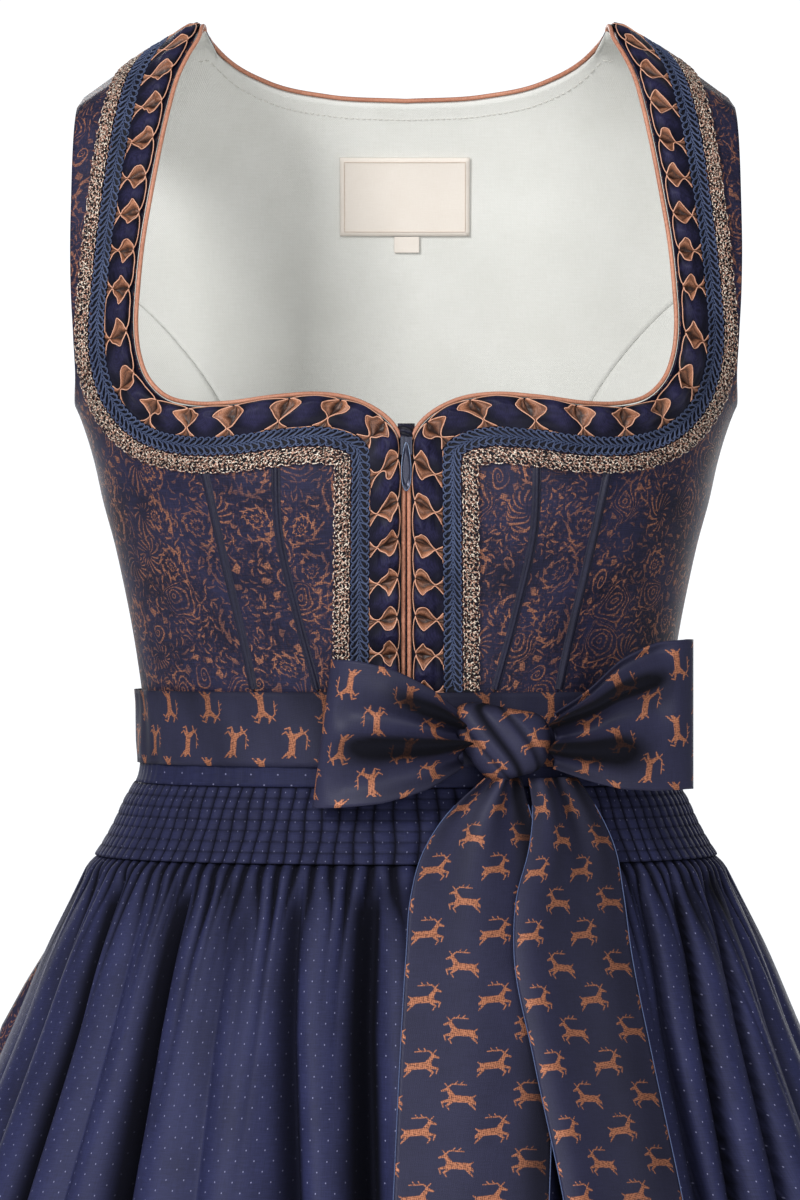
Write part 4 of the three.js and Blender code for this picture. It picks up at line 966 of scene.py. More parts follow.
# A lighter copy of the lacquered metal for the pull's rim: a painted highlight.
METAL_EDGE_HIGHLIGHT = plain("worn metal edge", (70, 84, 112), (134, 150, 178), 0.8, 0.9, 0.01,
                   Roughness=0.3, Metallic=0.3)
SELVEDGE = plain("selvedge", (50, 62, 98), (74, 90, 132), 1.4, 0.3, 0.04, Roughness=0.5)
THREAD = plain("sewing thread", (206, 204, 196), (236, 234, 228), 3.0, 0.3, 0.05, Roughness=0.7)


# Bodice

def edge_of(distance):
    """The neckline's line at a distance, from the shoulder down to the waist."""
    return neck_line(distance)[1]


PANEL_LINE = edge_of(2)


def armhole_x(z):
    """Edge of the armhole, and below the underarm the body's side."""
    return np.where(z < UNDERARM_Z, half_width(z), smooth_curve(ARMHOLE, z))


def rows_across(inner_x, inner_z, outer_x, outer_z, columns):
    """Rows from an inner to an outer edge, evenly spaced in angle round the body. A row's height
    follows the shoulder's slope between its ends."""

    def turn(x, z):
        return np.arcsin(np.minimum((x / half_width(z)) ** (section_power(z) / 2), 1))

    u = np.linspace(0, 1, columns)
    edges = (inner_x, inner_z, outer_x, outer_z)
    inner_x, inner_z, outer_x, outer_z = (np.asarray(v, float)[:, None] for v in edges)
    z = mix(inner_z, outer_z, u)
    reach = mix(half_width(inner_z), half_width(outer_z), u)
    angle = mix(turn(inner_x, inner_z), turn(outer_x, outer_z), u)
    x = reach * np.sin(angle) ** (2 / section_power(z))
    x[:, :1], x[:, -1:] = inner_x, outer_x
    fall = shoulder_z(outer_x) - shoulder_z(inner_x)
    drop = np.clip((shoulder_z(x) - shoulder_z(inner_x)) / np.where(np.abs(fall) < 1e-6, 1, fall), 0, 1)
    return x, np.where(inner_z == outer_z, inner_z, mix(inner_z, outer_z, drop))


STRAP_ROWS = np.array([
    (0, -27), (-1, -28), (-4, -31), (-9, -36), (-18, -44), (-34, -57), (-56, -74), (-84, -96),
    (-114, -119), (-138, -138), (-157, -154), (-172, -166), (-181, -174), (-187, -180.5), (-190.5, -186),
], float)


def side_front_places():
    """Places of the side front: rows from the neckline's edge to the armhole, then from seam to side."""
    corner = smooth_curve(SEAM_OUTER, -190.5) + SEAM_GAP / 2
    edge = PANEL_LINE[(PANEL_LINE[:, 0] > corner) & (PANEL_LINE[:, 1] > -190.6)]
    along = lengths(edge)
    want = np.linspace(0, along[-1], 70)
    inner_x, inner_z = (np.interp(want, along, edge[:, k]) for k in (0, 1))
    inner_z[0] = shoulder_z(inner_x[0])
    outer_z = smooth_curve(STRAP_ROWS, np.maximum(inner_z, -190.5))
    outer_z[0] = SHOULDER_END_Z
    upper = rows_across(inner_x, inner_z, armhole_x(outer_z), outer_z, 32)
    z = np.linspace(-190.5, WAIST_Z + SEAM_GAP / 2, 46)[1:]
    below = np.interp(z, [WAIST_Z, -190.5], [WAIST_Z, -186])
    lower = rows_across(smooth_curve(SEAM_OUTER, z) + SEAM_GAP / 2, z, armhole_x(below), below, 32)
    return [np.concatenate(pair) for pair in zip(upper, lower)]


def front_places(inner, outer):
    """Places between two upright seams, from the neckline's bottom edge down to the waist."""
    u = np.linspace(0, 1, 30)
    start = np.argmax(PANEL_LINE[:, 1] < -190)
    line = PANEL_LINE[start:]
    share = np.linspace(0, 1, 70)[:, None]
    top_z = -200.0
    x = mix(inner(top_z), outer(top_z), u)
    for _ in range(4):
        top = np.interp(x, line[::-1, 0], line[::-1, 1])
        x = mix(inner(top), outer(top), u)
    z = mix(top, WAIST_Z + SEAM_GAP / 2, share)
    return mix(inner(z), outer(z), u), z


def back_neck_z(x):
    """Height of the back neckline's curve, and beyond its ends the shoulder line."""
    x = np.abs(x)
    return np.where(x > SHOULDER_INNER, shoulder_z(x), smooth_curve(BACK_NECK, x))


def seam_back_x(z):
    """The curved back seam; above its start it lies out of reach."""
    return np.where(z < SEAM_BACK[0, 0], smooth_curve(SEAM_BACK, z), 1e3)


def back_centre_places():
    """Rows that follow the neckline and shoulders at the top and run level below."""
    share = np.linspace(-1, 1, 75)
    lowest = -WAIST_Z - SEAM_GAP / 2 + SHOULDER_END_Z
    drop = np.concatenate([np.linspace(0, 46, 20), np.linspace(52, lowest, 48)])
    outer_z = SHOULDER_END_Z - drop[:, None]
    seam, armhole = seam_back_x(outer_z), armhole_x(np.minimum(outer_z, SHOULDER_END_Z))
    x = share * np.minimum(seam - SEAM_GAP / 2, armhole)
    slope = back_neck_z(x) - back_neck_z(np.abs(x) + 1)
    top = back_neck_z(x) - np.where(np.abs(x) > SHOULDER_INNER, 0, 2 * np.hypot(1, slope))
    level = smooth_step(drop, 0, 62)[:, None]
    return x, mix(top, SHOULDER_END_Z, level) - drop[:, None]


def back_side_places():
    """Places of the side back: level rows from the curved seam to the side seam."""
    z = np.linspace(SEAM_BACK[0, 0] - 0.3, WAIST_Z + SEAM_GAP / 2, 56)
    return rows_across(seam_back_x(z) + SEAM_GAP / 2, z, armhole_x(z), z, 26)


def panel_piece(name, places, sign, side, shift):
    """A panel of the bodice, brocade outside and lining inside. Its shift moves the pattern."""
    x, z = places
    grid = body_point(sign * x, z, side, BODICE_OUT)
    uv = flat_places(grid, down=z) + np.array([shift, 0])
    cloth_piece(name, grid, [BROCADE, LINING], CLOTH_WALL, "hung", uv=uv, flip=sign * side > 0)


def lining_piece(name, places, sign):
    """A panel of the lining, on the inner face of its brocade panel."""
    x, z = places
    grid = body_point(sign * x, z, BACK, LINING_OUT)
    uv = flat_places(grid, down=z)
    cloth_piece(name, grid, [LINING], LINING_WALL, "hung", uv=uv, flip=sign > 0)


def bodice():
    """The bodice's panels: three fronts a side, side backs, centre back and their lining."""
    def inner(z):
        return smooth_curve(SEAM_INNER, z)

    def outer(z):
        return smooth_curve(SEAM_OUTER, z)

    half = SEAM_GAP / 2
    fronts = {
        "front_centre": front_places(lambda z: 3.2 + 0 * z, lambda z: inner(z) - half),
        "front_mid": front_places(lambda z: inner(z) + half, lambda z: outer(z) - half),
        "front_side": side_front_places(),
    }
    for side, sign in SIDES:
        for number, (name, places) in enumerate(fronts.items()):
            panel_piece(f"{name}_{side}", places, sign, FRONT, 300 * number + 120 * sign)
        panel_piece(f"back_side_{side}", back_side_places(), sign, BACK, 1300 + 90 * sign)
        lining_piece(f"lining_back_side_{side}", back_side_places(), sign)
    panel_piece("back_centre", back_centre_places(), 1, BACK, 1800)
    lining_piece("lining_back_centre", back_centre_places(), 1)


def under_stitches():
    """Sewing stitches in a row below the back neckline, each a short raised cord."""
    below_edge, half_stitch = 9.5, 0.95
    reach = np.linspace(-half_stitch, half_stitch, 5)
    path_x = np.linspace(-104, 104, 72)[:, None] + reach
    path_z = back_neck_z(path_x) - below_edge
    lift = -0.1 - 0.22 * (1 - (reach / half_stitch) ** 2)
    paths = body_point(path_x, path_z, BACK, np.broadcast_to(lift, path_x.shape))
    normals = body_normal(path_x, body_y(path_x, path_z, BACK), path_z, BACK)
    make_piece("neck_stitches", [cord_part(paths, normals, 0.2, 4)], [THREAD])


def labels():
    """Two blank woven labels on the lining, the larger with a raised border cord."""
    for name, (left, right, top, bottom) in LABELS.items():
        x, z = np.meshgrid(np.linspace(left, right, 30), np.linspace(top, bottom, 20))
        grid = body_point(x, z, BACK, -0.6)
        held = "laid" if name == "label_main" else None
        cloth_piece(name, grid, [LABEL], 0.9, held, uv=flat_places(grid), flip=True)
    left, right, top, bottom = LABELS["label_main"]
    inset = 2.2
    corners = np.array([(left + inset, top - inset), (right - inset, top - inset),
                        (right - inset, bottom + inset), (left + inset, bottom + inset)])
    sides = [mix(corners[k], corners[(k + 1) % 4], np.linspace(0, 1, 26)[:-1, None]) for k in range(4)]
    line = np.concatenate(sides)
    path = body_point(line[:, 0], line[:, 1], BACK, -1.55)
    normals = body_normal(line[:, 0], body_y(line[:, 0], line[:, 1], BACK), line[:, 1], BACK)
    make_piece("label_border", [cord_part(path, normals, 0.3, 4, closed=True)], [LABEL_EDGE])


# Trims

def body_normals(paths):
    """Directions out of the front of the body at points near it."""
    return body_normal(paths[..., 0], body_y(paths[..., 0], paths[..., 2], FRONT), paths[..., 2], FRONT)


def mouth_sides(count, random):
    """Edges of the frog mouths as (along, across, lift) control points: from the notch by the
    piping out to the pointed tip, back in to the pinch and out to the foot by the gimp."""
    shape = np.array([
        (0.35, 1.2, 2.5), (2.2, 1.9, 3.3), (4.6, 3.3, 4.1), (6.6, 5.2, 4.5), (4.7, 7.2, 3.8),
        (2.2, 9.4, 2.8), (0.35, 11.5, 1.9), (1.6, 13.4, 1.7), (4.3, 15.4, 1.1),
    ])
    wobble = np.array([0.2, 0.4, 0.6, 0.8, 0.6, 0.5, 0.12, 0.2, 0.5])[:, None, None]
    sides = []
    for turn in (-1, 1):
        points = shape[:, None] * np.ones((1, count, 1))
        points = points + random.normal(0, 1, points.shape) * wobble * (0.8, 0.6, 0.35)
        points[..., 0] *= turn
        sides.append(points)
    shift = random.normal(0, 0.5, (1, count, 1))
    pinch = random.normal(0, 0.6, (1, count))
    for points in sides:
        points[..., 0] += shift[..., 0]
        points[5:7, :, 1] += pinch
    return [through_points(points, RIM_POINTS) for points in sides]


def frog_trim(side, sign):
    """Pleated ruffle: between mouths a puff is ruled from one mouth's edge to the next and
    domed; each mouth has two copper leaves that sink to a crease, and edges are thin cords."""
    random = np.random.default_rng(21 if sign > 0 else 12)
    centres = np.arange(0, TRIM_COLUMNS, STRETCH_STEPS).astype(float)
    count = len(centres)
    along = trim_length(10)
    per_mm = np.gradient(np.arange(TRIM_COLUMNS), along)[centres.astype(int)]
    scale = np.interp(centres, [0, 160, 235, 300, 325, 432], [0.95, 0.92, 1.12, 1.12, 0.95, 0.92])
    left, right = mouth_sides(count, random)

    def place(points, centre, rate, stretch):
        column = centre + points[..., 0] * rate * stretch
        return on_trim(sign, column, FROG_EDGE + points[..., 1], TRIM_BASE + points[..., 2])

    flip = sign > 0
    parts, dark = [], []

    # Each part comes with its painted shade, which the fold attribute carries.
    def add(part, depth=0.0):
        parts.append(part)
        dark.append(np.ravel(depth) * np.ones(len(part[0])))

    edge = np.linspace(-0.3, FROG_WIDTH + 0.3, 8)
    base = on_trim(sign, np.arange(TRIM_COLUMNS), FROG_EDGE + edge[:, None], TRIM_BASE + 0.15)
    # The strip under the puffs and the walls at the shoulder end are darkened by heavy painted shade.
    add(sheet_part(base, 0, flip=flip), 0.8)
    for shoulder_end in (0.02, 0.9):
        wall = np.linspace(0.3, TRIM_BASE + 4.2, 5)[:, None] * (1 - 0.35 * np.linspace(-1, 1, 8) ** 4)
        add(sheet_part(on_trim(sign, shoulder_end, FROG_EDGE + edge - 1.0, wall), 0), 0.8)
    u = np.linspace(0, 1, 13)
    dome = np.sin(np.pi * u) ** 0.55
    v = np.linspace(0, 1, RIM_POINTS)[:, None]
    for k in range(count - 1):
        start, end = right[:, k].copy(), left[:, k + 1].copy()
        start[:, 0] = centres[k] + start[:, 0] * per_mm[k] * scale[k]
        end[:, 0] = centres[k + 1] + end[:, 0] * per_mm[k + 1] * scale[k + 1]
        puff = mix(start[:, None], end[:, None], u[None, :, None])
        body = np.sin(np.pi * np.clip(v * 0.86 + 0.12, 0, 1)) ** 0.7
        fold = 0.3 * np.sin(u * np.pi * 3 + random.uniform(0, 6) + 2 * v)
        lean = random.uniform(-0.12, 0.12)
        diamond = np.clip(1.15 - 1.7 * np.abs(u - 0.5 + lean * v) - 2.1 * np.abs(v - 0.42), 0, 1)
        puff[..., 2] += dome * (0.9 * body + fold * body * 0.6) + 1.3 * diamond
        puff[..., 2] = np.where(v < 0.12, puff[..., 2] - 2.4 * (0.12 - v) / 0.12 * dome, puff[..., 2])
        puff[..., 1] -= 1.5 * dome * np.exp(-v * 5)
        puff[..., 1] += 0.5 * dome * np.exp(-(1 - v) * 8)
        grid = on_trim(sign, puff[..., 0], FROG_EDGE + puff[..., 1], TRIM_BASE + puff[..., 2])
        # Painted shade over each puff, lightened at the raised diamond of its crown.
        shade = np.clip(1.05 - 1.5 * diamond - 0.35 * dome * (v > 0.1), 0, 1)
        add(sheet_part(grid, 0, flip=flip), shade)
        foot = on_trim(sign, puff[-1, :, 0], FROG_WIDTH + 2.3 + 0 * u, TRIM_BASE + 0.9 + 0 * u)
        add(cord_part(foot, body_normals(foot), 0.25, 5, 2))
        rim = puff[1]
        path = on_trim(sign, rim[:, 0], FROG_EDGE + rim[:, 1] - 0.1, TRIM_BASE + rim[:, 2] + 0.25)
        add(cord_part(path, body_normals(path), 0.27, 5, 2))
    rim_share = np.linspace(0, 1, RIM_POINTS)
    crease_stops = [0, 0.36, 0.76, 1]
    crease = np.stack([
        np.full(RIM_POINTS, 0.2),
        np.interp(rim_share, crease_stops, [1.6, 5.4, 11.4, 15.6]),
        np.interp(rim_share, crease_stops, [1.0, 0.3, 1.3, 0.8]),
    ], axis=1)
    share = np.linspace(0, 1, 7)[:, None, None]
    for k in range(count):
        for turn, points in ((-1, left[:, k]), (1, right[:, k])):
            leaf = mix(crease, points, share)
            crumple = np.sin(share[..., 0] * 9 + np.linspace(0, 7, RIM_POINTS) + 2 * turn + k)
            leaf[..., 2] += 0.9 * crumple * np.sin(np.pi * share[..., 0])
            grid = place(leaf, centres[k], per_mm[k], scale[k])
            # Painted shade on the leaves, deepest at the crease and in the troughs of the crumples.
            shade = 0.95 * (1 - share[..., 0]) ** 1.3 + 0.55 * np.clip(-crumple, 0, 1)
            add(sheet_part(grid, 1, flip=(turn > 0) != flip), np.minimum(shade, 1))
            path = place(points + (0, 0, 0.2), centres[k], per_mm[k], scale[k])
            add(cord_part(path, body_normals(path), 0.3, 5, 2))
    return make_piece(f"frog_trim_{side}_cloth", parts, [PUFF, SHADED_MOUTH, LIT_COPPER_RIM],
                      [f"frog_trim_{side}"], depth=np.concatenate(dark))


def columns_at(places, along):
    """Grid columns at distances along a band."""
    return np.interp(places, along, np.arange(TRIM_COLUMNS))


def braid_base(sign, along, distances, lift):
    """The dark ground under a braid, with the second of its looks."""
    column = columns_at(np.linspace(0, along[-1], 300), along)
    return sheet_part(on_trim(sign, column, distances[:, None], lift), 1, flip=sign > 0)


def gimp_trim(side, sign):
    """Braid of cord loops: on each half, long narrow loops lean towards the middle, each one's
    outer end over the next."""
    along = trim_length(GIMP_MIDDLE)
    pitch, lean = 3.6, np.radians(40)
    start = np.arange(1.0, along[-1] - 5.5, pitch)[:, None]
    turn = np.linspace(0, FULL_TURN, 14, endpoint=False)
    edge = np.linspace(-GIMP_HALF, GIMP_HALF, 7)
    parts = [braid_base(sign, along, GIMP_MIDDLE + edge, TRIM_BASE + 0.2)]

    def lay(a, c, lift, radius, closed):
        path = on_trim(sign, columns_at(a, along), GIMP_MIDDLE + c + 0 * a, lift + 0 * a)
        parts.append(cord_part(path, body_normals(path), radius, 5, closed=closed))

    for half in (-1, 1):
        major, minor = 3.2 * np.cos(turn), 1.2 * np.sin(turn) * (1 + 0.5 * np.cos(turn))
        a = start + 2.2 + (half > 0) * pitch / 2 + major * np.cos(lean) - minor * np.sin(lean)
        c = half * (2.1 + major * np.sin(lean) + minor * np.cos(lean))
        lay(a, c, TRIM_BASE + 0.85 + 0.5 * np.cos(turn) + 0.25 * np.sin(turn), 0.38, True)
        reach = np.linspace(0, 1, 7)
        a = start + 1.6 + pitch * (0.5 + (half > 0) / 2) + 3.4 * reach
        lay(a, half * (0.5 + 3.0 * np.sin(reach * 1.75)), TRIM_BASE + 0.9, 0.37, False)
    return make_piece(f"gimp_{side}_cord", parts, [GIMP, DARK_BASE], [f"gimp_{side}"])


def lace_trim(side, sign):
    """Lace braid: five cords, each a loop rolled along the band with its own phase, and a
    scalloped edge."""
    random = np.random.default_rng(5 if sign > 0 else 6)
    along = trim_length(LACE_MIDDLE)
    a = np.arange(0.4, along[-1] - 0.4, 0.48)
    edge = np.linspace(-LACE_HALF + 0.7, LACE_HALF - 1.5, 6)
    parts = [braid_base(sign, along, LACE_MIDDLE + edge, TRIM_BASE + 0.7)]
    lanes = ((-2.8, 1.1, 2.6), (-1.0, 1.4, 3.1), (0.9, 1.4, 2.8), (2.3, 1.2, 2.5), (-0.2, 2.0, 4.2))
    for middle, swing, period in lanes:
        turn = FULL_TURN * a / period + random.uniform(0, 6) + 0.5 * np.sin(a * 0.7)
        across = LACE_MIDDLE + middle + swing * np.sin(turn) + 0.35 * np.sin(a * 1.9)
        moved = a + 1.0 * np.cos(turn)
        lift = TRIM_BASE + 1.1 + 0.5 * np.sin(turn * 1.5 + random.uniform(0, 6))
        path = on_trim(sign, columns_at(moved, along), across, lift)
        parts.append(cord_part(path, body_normals(path), 0.37, 4))
    scallop = LACE_MIDDLE + 3.3 + 1.1 * np.abs(np.sin(np.pi * a / 6.5))
    path = on_trim(sign, columns_at(a, along), scallop, TRIM_BASE + 0.9)
    parts.append(cord_part(path, body_normals(path), 0.38, 4))
    return make_piece(f"lace_{side}_thread", parts, [LACE, DARK_BASE], [f"lace_{side}"])


def pipings():
    """Satin pipings: a round cord along the neckline and back neck, and on the front seams a
    cord between two stitched grooves."""
    profile = np.array([(-2.1, 2.85), (-1.7, 3.25), (-1.25, 2.95), (-0.9, 3.7), (0, 4.5), (0.9, 3.7),
                        (1.25, 2.95), (1.7, 3.25), (2.1, 2.85)])
    for side, sign in SIDES:
        path = on_trim(sign, np.linspace(0, TRIM_COLUMNS - 1, 520), 0.4, 2.2)
        make_piece(f"neck_piping_{side}_cord", [cord_part(path, body_normals(path), 1.1, 8)],
                   [COPPER], [f"neck_piping_{side}"])
        for name, table in (("inner", SEAM_INNER), ("outer", SEAM_OUTER)):
            z = np.linspace(SEAM_PIPING_TOP_Z + 6, TIE_TOP_Z + 2, 90)[:, None]
            x = smooth_curve(table, z) + profile[:, 0]
            grid = body_point(sign * x, z, FRONT, profile[:, 1])
            node = f"seam_piping_{name}_{side}"
            make_piece(f"{node}_cord", [sheet_part(grid, flip=sign < 0)], [NAVY], [node])
    x = np.linspace(-100.8, 100.8, 160)
    slope = back_neck_z(x) - back_neck_z(np.abs(x) + 1)
    z = back_neck_z(x) - 1.0 * np.where(np.abs(x) < SHOULDER_INNER, np.hypot(1, slope), 1)
    path = body_point(x, z, BACK, 2.0)
    normals = body_normal(x, body_y(x, z, BACK), z, BACK)
    ends = [on_trim(sign, 0.0, 0.4, 2.2)[None] for sign in (-1, 1)]
    path = np.concatenate([ends[0], path, ends[1]])
    normals = np.concatenate([normals[:1], normals, normals[-1:]])
    make_piece("neck_piping_back_cord", [cord_part(path, normals, 1.15, 8)], [COPPER],
               ["neck_piping_back"])


def zip_parts():
    """Zip: a tape behind the slot, two rows of small teeth, and the lacquered slider and pull."""
    x, z = np.meshgrid(np.linspace(-TAPE_HALF, TAPE_HALF, 13), np.linspace(TAPE_TOP_Z, WAIST_Z, 60))
    cloth_piece("zip_tape", body_point(x, z, FRONT, 0.6), [NAVY], 0.9, "hung")
    tooth_z = np.arange(ZIP_TOP_Z, TIE_TOP_Z, -ZIP_PITCH)
    tooth_x = np.where(np.arange(len(tooth_z)) % 2, 0.45, -0.45)[:, None] + np.linspace(-0.75, 0.75, 4)
    paths = body_point(tooth_x, tooth_z[:, None] + 0 * tooth_x, FRONT, 1.3)
    make_piece("zip_teeth", [cord_part(paths, body_normals(paths), 0.36, 4)], [METAL])
    u, v = np.meshgrid(np.linspace(-1, 1, 25), np.linspace(-1, 1, 33))
    dome = np.clip(1 - np.abs(u) ** 2.5 - np.abs(v) ** 3, 0, 1) ** 0.5
    ridge = np.sin(v * 14 + u * 2)
    fold = body_point(4.2 * u, -205.5 + 6.5 * v, FRONT, 1.0 + 3.4 * dome + 0.35 * ridge * dome)
    # The fold attribute paints shade on the folded tape: half dark all over, striped along its ridges.
    make_piece("zip_tape_fold", [sheet_part(fold)], [NAVY], depth=0.5 + 0.4 * ridge)
    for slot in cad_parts["zip_slider"].material_slots:
        slot.material = METAL
    low, high = (np.array(corner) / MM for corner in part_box("zip_pull"))
    turn = np.linspace(0, FULL_TURN, 48, endpoint=False)
    share = 0.5 - 0.5 * np.cos(turn)
    half = (high[0] - low[0]) / 2 * np.sin(turn) * (0.62 + 0.38 * share)
    x, z = (low[0] + high[0]) / 2 + half, mix(high[2], low[2], share)
    parts = []
    for y, inset in ((low[1], 1), (high[1], -1)):
        middle = np.stack([0 * x, 0 * x + y, mix(high[2], low[2], 0.55) + 0 * z], axis=1)
        rim = np.stack([x, y + 0 * x, z], axis=1)
        rings = mix(middle, rim, np.array([0.02, 0.5, 0.72, 0.8, 1.0])[:, None, None])
        rings[:3, :, 1] += inset * 0.35
        parts.append(sheet_part(rings, ring=True, flip=inset < 0))
    wall = np.stack([np.stack([x, y + 0 * x, z], axis=1) for y in (low[1], high[1])])
    parts.append(sheet_part(wall, ring=True))
    # Rim cords on both faces of the pull carry the painted edge highlight.
    for y in (low[1], high[1]):
        path = np.stack([x * 0.92, y + 0 * x, mix(z.mean(), z, 0.97)], axis=1)
        parts.append(cord_part(path, np.array([0, 1.0, 0]), 0.28, 6, 1, closed=True))
    make_piece("zip_pull_plate", parts, [METAL, METAL_EDGE_HIGHLIGHT], ["zip_pull"], body="pull")


# Skirt and apron

def fold_depth(degrees, z):
    """Depth of the apron's folds in mm, and the painted shade in their valleys. Between valleys the cloth
    is a roll:
    the depth rises as exp(-|away|), slowly on a valley's left and at once on its right, and the
    deepest valleys have a narrow slit. Each valley's angle runs straight between three heights."""
    top, middle, low, width, depth = (APRON_FOLDS[:, k] for k in range(5))
    degrees, z = degrees[..., None], z[..., None]
    upper = mix(middle, top, np.minimum((z - FOLD_MIDDLE_Z) / (FOLD_TOP_Z - FOLD_MIDDLE_Z), 1.2))
    lower = mix(middle, low, np.minimum((FOLD_MIDDLE_Z - z) / (FOLD_MIDDLE_Z - FOLD_LOW_Z), 1.6))
    centre = np.where(z > FOLD_MIDDLE_Z, upper, lower)
    away = np.abs(degrees - centre) / (width * np.where(degrees < centre, 1.5, 0.5))
    deep = np.clip((depth - 0.5) / 0.4, 0, 1)
    total = (depth * 0.7 * np.exp(-(away**1.15)) + 0.4 * deep * np.exp(-((away / 0.3) ** 2))).sum(axis=-1)
    # Painted shade: near-black in the deep valleys, wider on a valley's left than its right, below the
    # smocking.
    painted_valley_shade = np.where(degrees < centre, np.exp(-(away / 0.62) ** 3), np.exp(-(away / 0.5) ** 3))
    dark = (1.25 * deep**0.7 * painted_valley_shade).sum(axis=-1) * smooth_step(-z[..., 0], 412, 436)
    return 1.6 * smooth_curve(FOLD_DEPTHS, z[..., 0]) * np.minimum(total, 1.1), np.minimum(dark, 1)


def small_gathers(degrees, z):
    """Fine gathers under the smocking: uneven pleats that soften and merge on the way down, with painted
    shade in their hollows and just under the smocking.
    """
    down = np.clip(SMOCK_BOTTOM_Z - z, 0, None)
    cell = 2 * APRON_HALF_ANGLE / SMOCK_CELLS
    place = (degrees + APRON_HALF_ANGLE) / cell
    drift = 0.35 * np.sin(place * 1.7) + 0.25 * np.sin(place * 0.77 + 1) * smooth_step(down, 0, 60)
    fine = 1 - np.abs(np.sin(np.pi * (place + drift * smooth_step(down, 0, 30)))) ** 0.6
    wide = 1 - np.abs(np.sin(np.pi * (place * 0.5 + drift))) ** 0.6
    strength = 0.55 + 0.45 * np.sin(place * 0.9 + 2) * np.sin(place * 0.31)
    puff = 1.8 * smooth_step(down, 0, 7) * np.exp(-down / 30)
    short, long = np.exp(-down / 16), np.exp(-down / 46) * smooth_step(down, 2, 16)
    pleats = 4.6 * fine * short + 7.0 * strength * wide * long
    # Painted shade in the pleats' hollows, and a little just under the smocking.
    dark = 2.4 * fine * np.exp(-down / 24) + 2.2 * strength * wide**1.2 * long + 0.3 * np.exp(-down / 10)
    return pleats - puff + 1.2 * np.exp(-down / 1.5), np.minimum(dark, 1)


def apron():
    """The apron's panel: a ring sector pushed in by its folds and its fine gathers."""
    degrees, z = np.meshgrid(
        np.linspace(-APRON_HALF_ANGLE, APRON_HALF_ANGLE, 621),
        mix(SMOCK_BOTTOM_Z - SEAM_GAP, APRON_HEM_Z, np.linspace(0, 1, 54) ** 1.7),
    )
    folds, fold_painted_shade = fold_depth(degrees, z)
    gathers, gather_painted_shade = small_gathers(degrees, z)
    grid = ring_point(degrees, z, 4.6 - folds - gathers)
    uv = flat_places(grid, across=degrees * APRON_MM_A_DEGREE)
    # Its fold attribute is the painted shade of the folds and the gathers, whichever is darker.
    cloth_piece("apron_panel", grid, [APRON], APRON_WALL, "gathered", (1.1, 1.02),
                uv=uv, depth=np.maximum(fold_painted_shade, gather_painted_shade))


def smocking():
    """Smocked band: each cell is a small puff, with deep pleat lines between columns and
    stitched lines between rows."""
    degrees, z = np.meshgrid(
        np.linspace(-APRON_HALF_ANGLE, APRON_HALF_ANGLE, SMOCK_CELLS * 7 + 1),
        np.linspace(SMOCK_TOP_Z, SMOCK_BOTTOM_Z, SMOCK_CELL_ROWS * 6 + 1),
    )
    column = (degrees + APRON_HALF_ANGLE) / (2 * APRON_HALF_ANGLE) * SMOCK_CELLS
    row = (SMOCK_TOP_Z - z) / (SMOCK_TOP_Z - SMOCK_BOTTOM_Z) * SMOCK_CELL_ROWS
    side = np.clip(np.abs(degrees) / 60, 0, 1) * np.sign(degrees)
    lean = 0.5 * side * row / SMOCK_CELL_ROWS + 0.06 * np.sin(degrees * 0.4 + row)
    pleat = np.abs(np.sin(np.pi * column)) ** 0.35
    stitch = np.abs(np.sin(np.pi * row)) ** 0.35
    tilt = 0.25 * np.sin(2 * np.pi * column)
    lift = 3.9 + 1.7 * pleat * (0.8 + 0.2 * stitch) + 0.4 * tilt
    # Painted shade: a little over the whole band, most in the pleat lines and stitched rows.
    dark = np.minimum(0.22 + 0.9 * (1 - pleat) ** 1.1 + 0.4 * (1 - stitch) ** 1.2, 1)
    leaning = lean * 2 * APRON_HALF_ANGLE / SMOCK_CELLS * (1 - np.abs(side) ** 8)
    grid = ring_point(degrees - leaning, z, lift)
    cloth_piece("apron_smocking", grid, [APRON], 0.6, "gathered", (1.3, 1.05),
                uv=flat_places(grid, across=degrees * APRON_MM_A_DEGREE), depth=dark)


